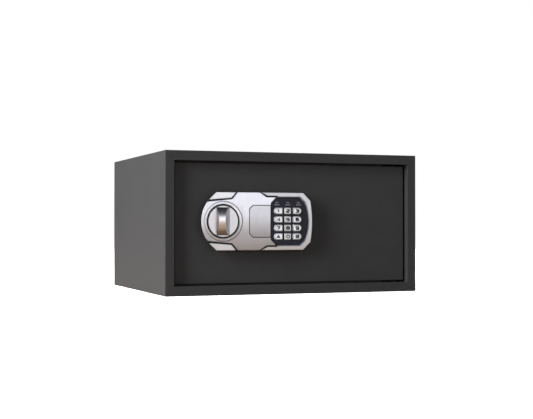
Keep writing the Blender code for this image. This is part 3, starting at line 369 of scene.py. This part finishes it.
def brushed(name, tone, roughness, metallic=0.9):
    """Satin metal with a faint vertical grain."""
    material, tree, shader = new_material(name, tone, roughness, metallic)
    grain = object_noise(tree, scale=900.0, detail=2.0, stretch=(1.0, 1.0, 0.15))
    light = tuple(min(1.0, 1.06 * c) for c in tone)
    dark = tuple(0.94 * c for c in tone)
    tree.links.new(ramp(tree, grain, shades(dark, light)), shader.inputs["Base Color"])
    tree.links.new(span(tree, grain, roughness - 0.04, roughness + 0.04),
                   shader.inputs["Roughness"])
    add_bump(tree, shader, grain, depth=0.00001, strength=0.3)
    return material


def polished(name, low, high):
    """Polished metal whose colour carries painted reflections along the arch of the grip: dark at
    the top, a painted highlight across the middle, warm and dark at the bottom.
    """
    material, tree, shader = new_material(name, (0.7, 0.7, 0.7), roughness=0.31, metallic=1.0)
    tone = painted_light_by_height(tree, low, high, GRIP_PAINTED_REFLECTION_TONES)
    tree.links.new(tone, shader.inputs["Base Color"])
    grain = object_noise(tree, scale=1200.0, detail=2.0)
    tree.links.new(span(tree, grain, 0.28, 0.34), shader.inputs["Roughness"])
    return material


def gloss_black():
    """Dark satin window with a faint blue tint."""
    material, tree, shader = new_material("gloss_black", (0.006, 0.007, 0.012), roughness=0.4)
    smear = object_noise(tree, scale=90.0, detail=3.0)
    tree.links.new(span(tree, smear, 0.34, 0.46), shader.inputs["Roughness"])
    tone = ramp(tree, smear, shades((0.005, 0.006, 0.011), (0.008, 0.008, 0.014)))
    tree.links.new(tone, shader.inputs["Base Color"])
    shader.inputs["Specular IOR Level"].default_value = 0.16
    return material


def plastic(name, colour, roughness, grain=900.0, bump=0.00004, specular=0.5):
    """Moulded plastic with a fine spark-eroded texture."""
    material, tree, shader = new_material(name, colour, roughness)
    fine = object_noise(tree, scale=grain, detail=2.0)
    cloud = object_noise(tree, scale=70.0, detail=2.0)
    dark = tuple(0.85 * c for c in colour)
    light = tuple(min(1.0, 1.12 * c) for c in colour)
    tree.links.new(ramp(tree, cloud, shades(dark, light)), shader.inputs["Base Color"])
    tree.links.new(span(tree, fine, roughness - 0.07, roughness + 0.07),
                   shader.inputs["Roughness"])
    add_bump(tree, shader, fine, depth=bump, strength=0.5)
    shader.inputs["Specular IOR Level"].default_value = specular
    return material


def brass():
    """Yellow brass, unevenly dulled."""
    material, tree, shader = new_material("brass", (0.62, 0.45, 0.18), roughness=0.28, metallic=1.0)
    cloud = object_noise(tree, scale=140.0, detail=3.0)
    tone = ramp(tree, cloud, shades((0.50, 0.36, 0.14), (0.70, 0.52, 0.22)))
    tree.links.new(tone, shader.inputs["Base Color"])
    tree.links.new(span(tree, cloud, 0.2, 0.38), shader.inputs["Roughness"])
    return material


def felt():
    """Needle felt with loose fibres."""
    material, tree, shader = new_material("carpet", (0.05, 0.05, 0.055), roughness=0.95)
    fibres = object_noise(tree, scale=1400.0, detail=4.0, stretch=(1.0, 0.35, 1.0))
    cloud = object_noise(tree, scale=60.0, detail=3.0)
    tone = ramp(tree, fibres, ((0.3, (0.025, 0.025, 0.03)), (0.75, (0.10, 0.10, 0.11))))
    shade = ramp(tree, cloud, shades((0.8, 0.8, 0.8), (1.0, 1.0, 1.0)))
    tree.links.new(multiplied(tree, tone, shade), shader.inputs["Base Color"])
    add_bump(tree, shader, fibres, depth=0.0004, strength=0.9)
    shader.inputs["Sheen Weight"].default_value = 0.2
    shader.inputs["Sheen Roughness"].default_value = 0.6
    return material


def circuit():
    """Green solder mask with lighter copper tracks under it."""
    material, tree, shader = new_material("board", (0.02, 0.16, 0.06), roughness=0.4)
    tracks = tree.nodes.new("ShaderNodeTexBrick")
    tracks.inputs["Scale"].default_value = 180.0
    tracks.inputs["Color1"].default_value = (0.015, 0.13, 0.05, 1.0)
    tracks.inputs["Color2"].default_value = (0.02, 0.17, 0.065, 1.0)
    tracks.inputs["Mortar"].default_value = (0.05, 0.26, 0.10, 1.0)
    turn = tree.nodes.new("ShaderNodeMapping")
    turn.inputs["Rotation"].default_value = (math.radians(90), 0.0, 0.0)
    place = tree.nodes.new("ShaderNodeTexCoord")
    tree.links.new(place.outputs["Object"], turn.inputs["Vector"])
    tree.links.new(turn.outputs["Vector"], tracks.inputs["Vector"])
    tree.links.new(tracks.outputs["Color"], shader.inputs["Base Color"])
    add_bump(tree, shader, tracks.outputs["Fac"], depth=0.00005, strength=0.5)
    return material


FINISHES = {
    "powder_coat": powder_coat(),
    "steel": steel(),
    "carpet": felt(),
    "dark_plastic": plastic("dark_plastic", (0.008, 0.008, 0.009), roughness=0.5, specular=0.2),
    # The face's silver carries painted light from top to bottom
    "silver_face": silver("silver_face", FACE_PAINTED_LIGHT_TONES),
    "knob_metal": brushed("knob_metal", (0.59, 0.595, 0.63), roughness=0.36),
    "gloss_black": gloss_black(),
    "key_plastic": plastic("key_plastic", (0.46, 0.46, 0.475), roughness=0.36, grain=1500.0,
                           bump=0.00002),
    "rubber": plastic("rubber", (0.04, 0.04, 0.04), roughness=0.75),
    "board": circuit(),
    "brass": brass(),
    "cell": plastic("cell", (0.05, 0.05, 0.06), roughness=0.3, grain=400.0,
                    bump=0.00001),
    "red_plastic": plastic("red_plastic", (0.45, 0.02, 0.015), roughness=0.35),
}
INK = plastic("ink", (0.008, 0.008, 0.009), roughness=0.6, specular=0.08)
DIM_PRINT = plastic("dim_print", (0.10, 0.10, 0.11), roughness=0.5)
LAMP = plastic("lamp", (0.09, 0.09, 0.10), roughness=0.25)
# Grip metal with painted reflections along its arch
GRIP_PAINTED_REFLECTION = polished("grip_painted_reflection", *(corner.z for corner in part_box("knob")))
# Silver finishes with painted light from top to bottom
TRIM_SILVER = silver("trim_silver", TRIM_PAINTED_LIGHT_TONES)
BEZEL_SILVER = silver("bezel_silver", BEZEL_PAINTED_LIGHT_TONES)
COVER_SILVER = silver("cover_silver", shaded(FACE_PAINTED_LIGHT_TONES, COVER_SHADE))
# Collar copies of the face's silver: a lighter one for a painted highlight, a darker one for
# painted shade
COLLAR_PAINTED_HIGHLIGHT_SILVER = silver("collar_painted_highlight", shaded(FACE_PAINTED_LIGHT_TONES, COLLAR_PAINTED_HIGHLIGHT))
COLLAR_SLOPE_PAINTED_SHADE_SILVER = silver("collar_slope_painted_shade", shaded(FACE_PAINTED_LIGHT_TONES, COLLAR_SLOPE_PAINTED_SHADE))
# Darker plastic for painted shade on each key's rim and chamfers
KEY_RIM_PAINTED_SHADE = plastic("key_rim_painted_shade", (0.14, 0.14, 0.15), roughness=0.4, grain=1500.0,
                  bump=0.00002)
# Darker grey for painted shade on the bezel's inner slope
SLOPE_PAINTED_SHADE = brushed("slope_painted_shade", (0.16, 0.16, 0.17), roughness=0.4, metallic=0.6)


# Pieces made from the CAD shapes, with softened edges

WELD_REACH = 0.002 * MM
FLAT_ANGLE = 0.6  # degrees; flatter edges are dissolved
EDGE_ANGLE = 24.0  # degrees; sharper edges are rounded
EDGE_STEPS = 2
SHARP_ANGLE = 50  # degrees; on rebuilt pieces sharper edges stay crisp


def dress(piece, body, material):
    """Give a new piece its finish and its body."""
    piece.data.materials.clear()
    piece.data.materials.append(material)
    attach(piece, body)
    return piece


def soften(piece, width):
    """Rounded edges and even shading across the flat faces."""
    bevel = piece.modifiers.new("soft_edges", "BEVEL")
    bevel.width = width
    bevel.segments = EDGE_STEPS
    bevel.limit_method = "ANGLE"
    bevel.angle_limit = math.radians(EDGE_ANGLE)
    bevel.use_clamp_overlap = True
    piece.data.shade_smooth()
    weights = piece.modifiers.new("shading", "WEIGHTED_NORMAL")
    weights.mode = "FACE_AREA"
    weights.keep_sharp = True


def welded(node):
    """Copy of a CAD node's mesh with its seams closed and its flat faces whole."""
    mesh = NODES[node].data.copy()
    shape = bmesh.new()
    shape.from_mesh(mesh)
    bmesh.ops.remove_doubles(shape, verts=shape.verts, dist=WELD_REACH)
    bmesh.ops.dissolve_limit(shape, angle_limit=math.radians(FLAT_ANGLE), verts=shape.verts,
                             edges=shape.edges)
    shape.to_mesh(mesh)
    shape.free()
    return mesh


def mesh_from(name, shape):
    """Mesh made from a bmesh, which is freed."""
    mesh = bpy.data.meshes.new(name)
    shape.to_mesh(mesh)
    shape.free()
    return mesh


def new_piece(name, mesh):
    piece = bpy.data.objects.new(name, mesh)
    bpy.context.scene.collection.objects.link(piece)
    return piece


def settle(piece):
    """Put the result of a piece's modifiers into its mesh."""
    bpy.context.view_layer.update()
    evaluated = piece.evaluated_get(bpy.context.evaluated_depsgraph_get())
    mesh = bpy.data.meshes.new_from_object(evaluated)
    piece.modifiers.clear()
    piece.data = mesh


def refined(node, width, material=None):
    """A finely edged stand-in for a CAD node, in the node's own place."""
    piece = new_piece(node + "_fine", welded(node))
    soften(piece, width)
    dress(piece, BODY_OF[node], material or FINISHES[SLOT_OF[node]])
    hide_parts(node)
    return piece


REBUILT = {"knob", "floor_mat"}
SPECIAL_FINISHES = {
    "panel_trim_upper": TRIM_SILVER, "panel_trim_lower": TRIM_SILVER,
    "keypad_bezel": BEZEL_SILVER, "override_cover": COVER_SILVER, "status_light_1": LAMP,
    "status_light_2": LAMP, "status_light_3": LAMP,
}

# Width of the softened edges, in millimetres
EDGE_WIDTHS = {
    "body_shell": 0.35, "door_plate": 0.4, "door_inner_cover": 0.5, "panel_face": 0.18,
    "panel_trim_upper": 0.2, "panel_trim_lower": 0.2, "keypad_bezel": 0.18,
    "override_cover": 0.15, "battery_cover": 0.2,
}
USUAL_EDGE = 0.12
SLOPE_TURN = (-0.97, -0.2)  # how far the bezel's inner slope faces forwards, from and to
CHAMFER_TURN = (-0.99, -0.3)  # the same for a key's chamfers

# Raised ring round the knob, measured from the knob's middle and the face's front
COLLAR_INNER = 26 * MM
COLLAR_CREST = 29.6 * MM
COLLAR_OUTER = 31.6 * MM
COLLAR_STEP = 0.1 * MM  # a face less proud than this is part of the flat
COLLAR_RISE = 1.1 * MM  # crest over the flat

KEY_RIM_WIDTH = 0.9 * MM
KEY_CROWN = 0.15 * MM


def paint_slope(piece):
    """Painted shade: darker grey on the bezel's inner slope, which faces the keypad window."""
    piece.data.materials.append(SLOPE_PAINTED_SHADE)
    low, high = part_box("keypad_window")
    middle = (low + high) / 2
    for face in piece.data.polygons:
        away = face.center - middle
        inward = face.normal.x * away.x + face.normal.z * away.z < 0
        if inward and SLOPE_TURN[0] < face.normal.y < SLOPE_TURN[1]:
            face.material_index = 1


def paint_collar(piece):
    """Painted highlight on the crest and painted shade on the outer slope of the raised ring round
    the knob.
    """
    piece.data.materials.append(COLLAR_PAINTED_HIGHLIGHT_SILVER)
    piece.data.materials.append(COLLAR_SLOPE_PAINTED_SHADE_SILVER)
    low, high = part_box("knob")
    middle = (low + high) / 2
    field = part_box("panel_face")[0].y + COLLAR_RISE - COLLAR_STEP
    for face in piece.data.polygons:
        away = math.hypot(face.center.x - middle.x, face.center.z - middle.z)
        if COLLAR_INNER < away < COLLAR_OUTER and face.center.y < field:
            face.material_index = 1 if away < COLLAR_CREST else 2


def paint_rims(piece):
    """Inset the key's front, crown it slightly and give its rim and chamfers a darker material:
    painted shade round the key's edge.
    """
    shape = bmesh.new()
    shape.from_mesh(piece.data)
    front = max(shape.faces, key=lambda face: -face.normal.y * face.calc_area())
    result = bmesh.ops.inset_region(shape, faces=[front], thickness=KEY_RIM_WIDTH,
                                    depth=KEY_CROWN)
    chamfers = [f for f in shape.faces if CHAMFER_TURN[0] < f.normal.y < CHAMFER_TURN[1]]
    for face in result["faces"] + chamfers:
        face.material_index = 1
    shape.to_mesh(piece.data)
    shape.free()
    piece.data.materials.append(KEY_RIM_PAINTED_SHADE)


def refine_everything():
    for node in NODES:
        if node in REBUILT:
            continue
        material = SPECIAL_FINISHES.get(node)
        piece = refined(node, EDGE_WIDTHS.get(node, USUAL_EDGE) * MM, material=material)
        if node == "keypad_bezel":
            paint_slope(piece)
        if node == "panel_face":
            paint_collar(piece)
        if node.startswith("key_") and node != "key_membrane":
            paint_rims(piece)


# Knob: close to the CAD knob's sizes, measured from its own middle and front face
KNOB_RADIUS = 24 * MM
KNOB_RIM = 0.9 * MM
DISC_RINGS = (0.5, 8.0, 16.0, 22.0)  # radii of the flat front's rings, in millimetres
DISC_SIDES = 96
RIM_STEP = 18  # degrees
GRIP_HALF = 21.4 * MM
GRIP_RISE = 8 * MM
GRIP_LEFT = -9.6 * MM
GRIP_WAIST = 0.9 * MM
GRIP_RIGHT = 10.5 * MM
GRIP_RIDGE = 2 * MM
SCOOP_RADIUS = 14 * MM
GRIP_ROOT = 0.4 * MM
FLANK_TURN = 0.3  # how far a face of the grip turns to +X before it counts as the flank
GRIP_ROUND = 0.4 * MM
ROUND_STEPS = 4
FLANK_STEPS = 26
RIDGE_BLEND = 1.2 * MM
ROW_STEP = 3  # degrees


def add_section_tube(shape, sections):
    """Closed skin through a row of sections that all have the same number of points."""
    rings = [[shape.verts.new(point) for point in section] for section in sections]
    count = len(rings[0])
    for first, second in zip(rings, rings[1:]):
        for i in range(count):
            j = (i + 1) % count
            face = shape.faces.new((first[i], first[j], second[j], second[i]))
            face.smooth = True
    for ring in (rings[0], rings[-1]):
        shape.faces.new(ring)
    bmesh.ops.recalc_face_normals(shape, faces=shape.faces)


def lathe_sections(centre, profile, steps):
    """Sections of a body turned about Y; profile holds (radius, y) pairs from front to back."""
    sections = []
    for radius, y in profile:
        ring = []
        for i in range(steps):
            angle = 2 * math.pi * i / steps
            ring.append((centre.x + radius * math.cos(angle), y,
                         centre.z + radius * math.sin(angle)))
        sections.append(ring)
    return sections


def scoop_height(x):
    """Height of the scooped right flank at a distance from the grip's middle line."""
    run = GRIP_RIGHT - GRIP_RIDGE
    chord = math.hypot(run, GRIP_RISE)
    offset = math.sqrt(SCOOP_RADIUS ** 2 - (chord / 2) ** 2)
    centre_x = (GRIP_RIGHT + GRIP_RIDGE) / 2 + offset * GRIP_RISE / chord
    centre_h = GRIP_RISE / 2 + offset * run / chord
    reach = SCOOP_RADIUS ** 2 - (x - centre_x) ** 2
    return centre_h - math.sqrt(max(reach, 0.0))


def soft_min(first, second, blend):
    """Smaller of two heights, with the corner between them rounded."""
    share = max(blend - abs(first - second), 0.0) / blend
    return min(first, second) - share * share * blend / 4


def grip_section(centre, front, z):
    """One slice of the grip across X: steep left flank, flat ridge, scooped right flank."""
    arch_radius = (GRIP_HALF ** 2 + GRIP_RISE ** 2) / (2 * GRIP_RISE)
    arch = GRIP_RISE - arch_radius + math.sqrt(arch_radius ** 2 - z ** 2)
    arch = max(arch, 0.0)
    left = GRIP_LEFT - GRIP_WAIST * (z / GRIP_HALF) ** 2
    corner = min(GRIP_ROUND, 0.5 * arch)
    points = [(left, -GRIP_ROOT), (left, 0.3 * (arch - corner)), (left, arch - corner)]
    for i in range(1, ROUND_STEPS + 1):
        angle = math.radians(90 * i / ROUND_STEPS)
        points.append((left + corner * (1 - math.cos(angle)),
                       arch - corner * (1 - math.sin(angle))))
    first_x = left + corner
    for i in range(1, FLANK_STEPS + 1):
        x = first_x + (GRIP_RIGHT - first_x) * i / FLANK_STEPS
        points.append((x, soft_min(arch, scoop_height(x), RIDGE_BLEND)))
    points.append((GRIP_RIGHT, -GRIP_ROOT))
    return [(centre.x + x, front - height, centre.z + z) for x, height in points]


def make_knob():
    """Satin disc and its polished arched grip, one casting."""
    low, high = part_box("knob")
    centre = (low + high) / 2
    front = low.y + GRIP_RISE
    rim = [(KNOB_RADIUS - KNOB_RIM * (1 - math.sin(math.radians(a))),
            front + KNOB_RIM * (1 - math.cos(math.radians(a)))) for a in range(0, 91, RIM_STEP)]
    flat = [(radius * MM, front) for radius in DISC_RINGS]
    shape = bmesh.new()
    add_section_tube(shape, lathe_sections(centre, flat + rim + [(KNOB_RADIUS, high.y)],
                                           DISC_SIDES))
    disc_faces = len(shape.faces)
    rows = [GRIP_HALF * math.sin(math.radians(a)) for a in range(-90, 91, ROW_STEP)]
    add_section_tube(shape, [grip_section(centre, front, z) for z in rows])
    mesh = mesh_from("knob_fine", shape)
    mesh.set_sharp_from_angle(angle=math.radians(SHARP_ANGLE))
    piece = new_piece("knob_fine", mesh)
    dress(piece, "knob", FINISHES["knob_metal"])
    # The arch takes the painted reflection; the flanks keep the disc's satin metal
    mesh.materials.append(GRIP_PAINTED_REFLECTION)
    for face in mesh.polygons:
        on_arch = face.index >= disc_faces and face.normal.x < FLANK_TURN
        face.material_index = int(on_arch)
    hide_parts("knob")


# Printed marks

# Pen strokes of each key's mark, in a unit box
ROUND_SIX = ((.95, .9), (.85, 1), (.15, 1), (0, .85), (0, .15), (.15, 0), (.85, 0), (1, .15),
             (1, .4), (.85, .55), (0, .55))
LOWER_BOWL = ((.85, .52), (1, .38), (1, .15), (.85, 0), (.12, 0), (0, .1))
STROKES = {
    "1": (((.2, .76), (.55, 1), (.55, 0)),),
    "2": (((0, .82), (.12, 1), (.85, 1), (1, .85), (1, .66), (.85, .52), (.15, .42), (0, .28),
           (0, 0), (1, 0)),),
    "3": (((0, .9), (.12, 1), (.85, 1), (1, .85), (1, .66), (.85, .52), (.2, .52)), LOWER_BOWL),
    "4": (((.76, 0), (.76, 1), (0, .3), (1, .3)),),
    "5": (((1, 1), (0, 1), (0, .56), (.85, .56), (1, .42), (1, .15), (.85, 0), (.12, 0),
           (0, .16)),),
    "6": (ROUND_SIX,),
    "7": (((0, 1), (1, 1), (1, .85), (.4, 0)),),
    "8": (((.15, .53), (0, .66), (0, .87), (.15, 1), (.85, 1), (1, .87), (1, .66), (.85, .53),
           (.15, .53), (0, .4), (0, .13), (.15, 0), (.85, 0), (1, .13), (1, .4), (.85, .53)),),
    "9": (tuple((1 - x, 1 - z) for x, z in ROUND_SIX),),
    "0": (((.5, 1), (.72, 1), (1, .72), (1, .28), (.72, 0), (.28, 0), (0, .28), (0, .72),
           (.28, 1), (.5, 1)),),
    "a": (((0, 0), (.5, 1), (1, 0)), ((.2, .32), (.8, .32))),
    "b": (((.82, .53), (1, .66), (1, .85), (.82, 1), (0, 1), (0, 0), (.82, 0), (1, .15),
           (1, .4), (.82, .53), (0, .53)),),
}
MARK_SIZE = (4.8 * MM, 4.2 * MM)
PEN_RADIUS = 0.95 * MM
INK_RELIEF = 0.1  # share of the pen's thickness that the flat mark keeps
INK_GAP = 0.01 * MM
LIGHT_MARK_DROP = 2.6 * MM
LIGHT_MARK_SIZE = (8.5 * MM, 0.06 * MM, 1.3 * MM)


def pen_mark(name, strokes, centre, body):
    """A bold mark drawn with a round pen on a surface that faces -Y."""
    curve = bpy.data.curves.new(name, "CURVE")
    curve.dimensions = "3D"
    curve.bevel_depth = PEN_RADIUS
    curve.bevel_resolution = 2
    curve.use_fill_caps = True
    width, height = MARK_SIZE
    for stroke in strokes:
        line = curve.splines.new("POLY")
        line.points.add(len(stroke) - 1)
        for point, (x, z) in zip(line.points, stroke):
            point.co = ((x - 0.5) * width, 0.0, (z - 0.5) * height, 1.0)
    guide = new_piece(name + "_guide", curve)
    bpy.context.view_layer.update()
    evaluated = guide.evaluated_get(bpy.context.evaluated_depsgraph_get())
    mesh = bpy.data.meshes.new_from_object(evaluated)
    bpy.data.objects.remove(guide, do_unlink=True)
    mesh.transform(Matrix.Translation(centre) @ Matrix.Diagonal((1.0, INK_RELIEF, 1.0, 1.0)))
    mesh.name = name
    return dress(new_piece(name, mesh), body, INK)


def print_keys():
    for name in "1234567890ab":
        low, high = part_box("key_" + name)
        front = low.y - KEY_CROWN - INK_GAP
        centre = Vector(((low.x + high.x) / 2, front, (low.z + high.z) / 2))
        pen_mark("legend_" + name, STROKES[name], centre, "key_" + name)


def print_lights():
    """Plain dash printed under each status light."""
    for index in (1, 2, 3):
        low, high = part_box(f"status_light_{index}")
        centre = Vector(((low.x + high.x) / 2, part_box("keypad_window")[0].y,
                         low.z - LIGHT_MARK_DROP))
        bar(f"light_mark_{index}", centre, LIGHT_MARK_SIZE, "door", DIM_PRINT)


def bar(name, centre, size, body, material, edge=0.02 * MM):
    """Small slab with rounded edges."""
    shape = bmesh.new()
    bmesh.ops.create_cube(shape, size=1.0)
    bmesh.ops.scale(shape, vec=size, verts=shape.verts)
    bmesh.ops.translate(shape, vec=centre, verts=shape.verts)
    piece = new_piece(name, mesh_from(name, shape))
    soften(piece, edge)
    return dress(piece, body, material)


# Interior

MAT_STEP = 6 * MM
MAT_RIPPLE = 0.25 * MM
MAT_EDGE = 0.8 * MM
ANCHOR_RADIUS = 6 * MM
ANCHOR_X = 130 * MM
MAT_WAVES = (41, 23, 37, 29)  # radians per metre
MAT_BENDS = (3, 2)  # how far the waves wander, in radians
ANCHOR_CLEAR = 20 * MM  # corners nearer to the mat's sides than this are its edges
PUNCH_DEPTH = 20 * MM
HOLE_SIDES = 48

SCREW_INSET = 11 * MM
SCREW_RADIUS = 3.6 * MM
SCREW_HEIGHT = 1.9 * MM
SCREW_CROSS = (0.9 * MM, 4.2 * MM, 1.0 * MM)
SCREW_EYE = 0.3 * MM
SCREW_WALL = 0.35  # share of the head below its dome
SCREW_SEAT = 0.2 * MM  # sunk into the cover
SCREW_STEP = 10  # degrees
SCREW_SIDES = 36
SCREW_SHARP_ANGLE = 40  # degrees

RIDGE_COUNT = 5
RIDGE_PITCH = 3.2 * MM
RIDGE_SIZE = (1.3 * MM, 1.2 * MM, 22 * MM)
RIDGE_INSET = 8 * MM
RIDGE_LIFT = 0.3 * MM
RIDGE_EDGE = 0.4 * MM


def make_mat():
    """Needle-felt mat, laid flat, with a punched hole for each floor anchor."""
    low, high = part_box("floor_mat")
    across = high.x - low.x
    along = high.y - low.y
    shape = bmesh.new()
    columns = round(across / MAT_STEP)
    rows = round(along / MAT_STEP)
    bmesh.ops.create_grid(shape, x_segments=columns, y_segments=rows, size=0.5)
    bmesh.ops.scale(shape, vec=(across, along, 1.0), verts=shape.verts)
    bmesh.ops.translate(shape, vec=((low.x + high.x) / 2, (low.y + high.y) / 2, low.z),
                        verts=shape.verts)
    faces = bmesh.ops.extrude_face_region(shape, geom=shape.faces[:])
    top = [v for v in faces["geom"] if isinstance(v, bmesh.types.BMVert)]
    first, second, third, fourth = MAT_WAVES
    bend_x, bend_y = MAT_BENDS
    for vert in top:
        x, y = vert.co.x, vert.co.y
        wave = (math.sin(first * x + bend_x * math.sin(second * y))
                * math.sin(third * y + bend_y * math.sin(fourth * x)))
        inset = min(x - low.x, high.x - x, y - low.y, high.y - y)
        crown = MAT_EDGE * max(0.0, 1 - inset / MAT_STEP)
        vert.co.z = high.z - MAT_RIPPLE * (0.5 + 0.5 * wave) - crown
    bmesh.ops.recalc_face_normals(shape, faces=shape.faces)
    mesh = mesh_from("floor_mat_felt", shape)
    piece = new_piece("floor_mat_felt", mesh)
    anchor_y = anchor_depth()
    for side in (-1, 1):
        punch(piece, (side * ANCHOR_X, anchor_y, low.z))
    piece.data.shade_smooth()
    piece.data.set_sharp_from_angle(angle=math.radians(SHARP_ANGLE))
    dress(piece, "root", FINISHES["carpet"])
    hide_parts("floor_mat")


def anchor_depth():
    """Distance of the floor anchors along Y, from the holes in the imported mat."""
    low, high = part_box("floor_mat")
    inner = [v.co.y for v in NODES["floor_mat"].data.vertices
             if low.y + ANCHOR_CLEAR < v.co.y < high.y - ANCHOR_CLEAR]
    return (min(inner) + max(inner)) / 2


def carve(piece, cutter_shape, place):
    """Cut a shape, moved to a place, out of a piece and make the cut final."""
    cutter = new_piece("cutter", mesh_from("cutter", cutter_shape))
    cutter.location = place
    cut = piece.modifiers.new("cut", "BOOLEAN")
    cut.operation = "DIFFERENCE"
    cut.solver = "EXACT"
    cut.object = cutter
    settle(piece)
    bpy.data.objects.remove(cutter, do_unlink=True)


def punch(piece, centre):
    """Cut an upright round hole through a piece."""
    shape = bmesh.new()
    bmesh.ops.create_cone(shape, cap_ends=True, segments=HOLE_SIDES, radius1=ANCHOR_RADIUS,
                          radius2=ANCHOR_RADIUS, depth=PUNCH_DEPTH)
    carve(piece, shape, centre)


def make_screw(name, centre, body):
    """Pan-head cross-recess screw on a surface that faces +Y."""
    shape = bmesh.new()
    profile = [(SCREW_EYE, centre.y + SCREW_HEIGHT)]
    for degrees in range(SCREW_STEP, 91, SCREW_STEP):
        angle = math.radians(degrees)
        level = SCREW_WALL + (1 - SCREW_WALL) * math.cos(angle)
        profile.append((SCREW_RADIUS * math.sin(angle), centre.y + SCREW_HEIGHT * level))
    profile.append((SCREW_RADIUS, centre.y - SCREW_SEAT))
    add_section_tube(shape, lathe_sections(centre, profile, SCREW_SIDES))
    piece = new_piece(name, mesh_from(name, shape))
    wide, long, deep = SCREW_CROSS
    for size in ((wide, 2 * deep, long), (long, 2 * deep, wide)):
        cross = bmesh.new()
        bmesh.ops.create_cube(cross, size=1.0)
        bmesh.ops.scale(cross, vec=size, verts=cross.verts)
        carve(piece, cross, (centre.x, centre.y + SCREW_HEIGHT, centre.z))
    piece.data.shade_smooth()
    piece.data.set_sharp_from_angle(angle=math.radians(SCREW_SHARP_ANGLE))
    dress(piece, body, FINISHES["steel"])


def make_cover_screws():
    """Six screws that hold the inner cover to the door."""
    low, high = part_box("door_inner_cover")
    columns = (low.x + SCREW_INSET, (low.x + high.x) / 2, high.x - SCREW_INSET)
    rows = (low.z + SCREW_INSET, high.z - SCREW_INSET)
    for row, z in enumerate(rows):
        for column, x in enumerate(columns):
            make_screw(f"cover_screw_{row + 1}{column + 1}", Vector((x, high.y, z)), "door")


def make_cover_ridges():
    """Finger ridges on the sliding battery cover."""
    low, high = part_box("battery_cover")
    for index in range(RIDGE_COUNT):
        centre = Vector((high.x - RIDGE_INSET - index * RIDGE_PITCH, high.y + RIDGE_LIFT,
                         (low.z + high.z) / 2))
        bar(f"battery_cover_ridge_{index + 1}", centre, RIDGE_SIZE, "battery_cover",
            FINISHES["dark_plastic"], RIDGE_EDGE)


make_camera()
make_studio()
refine_everything()
make_knob()
print_keys()
print_lights()
make_mat()
make_cover_screws()
make_cover_ridges()
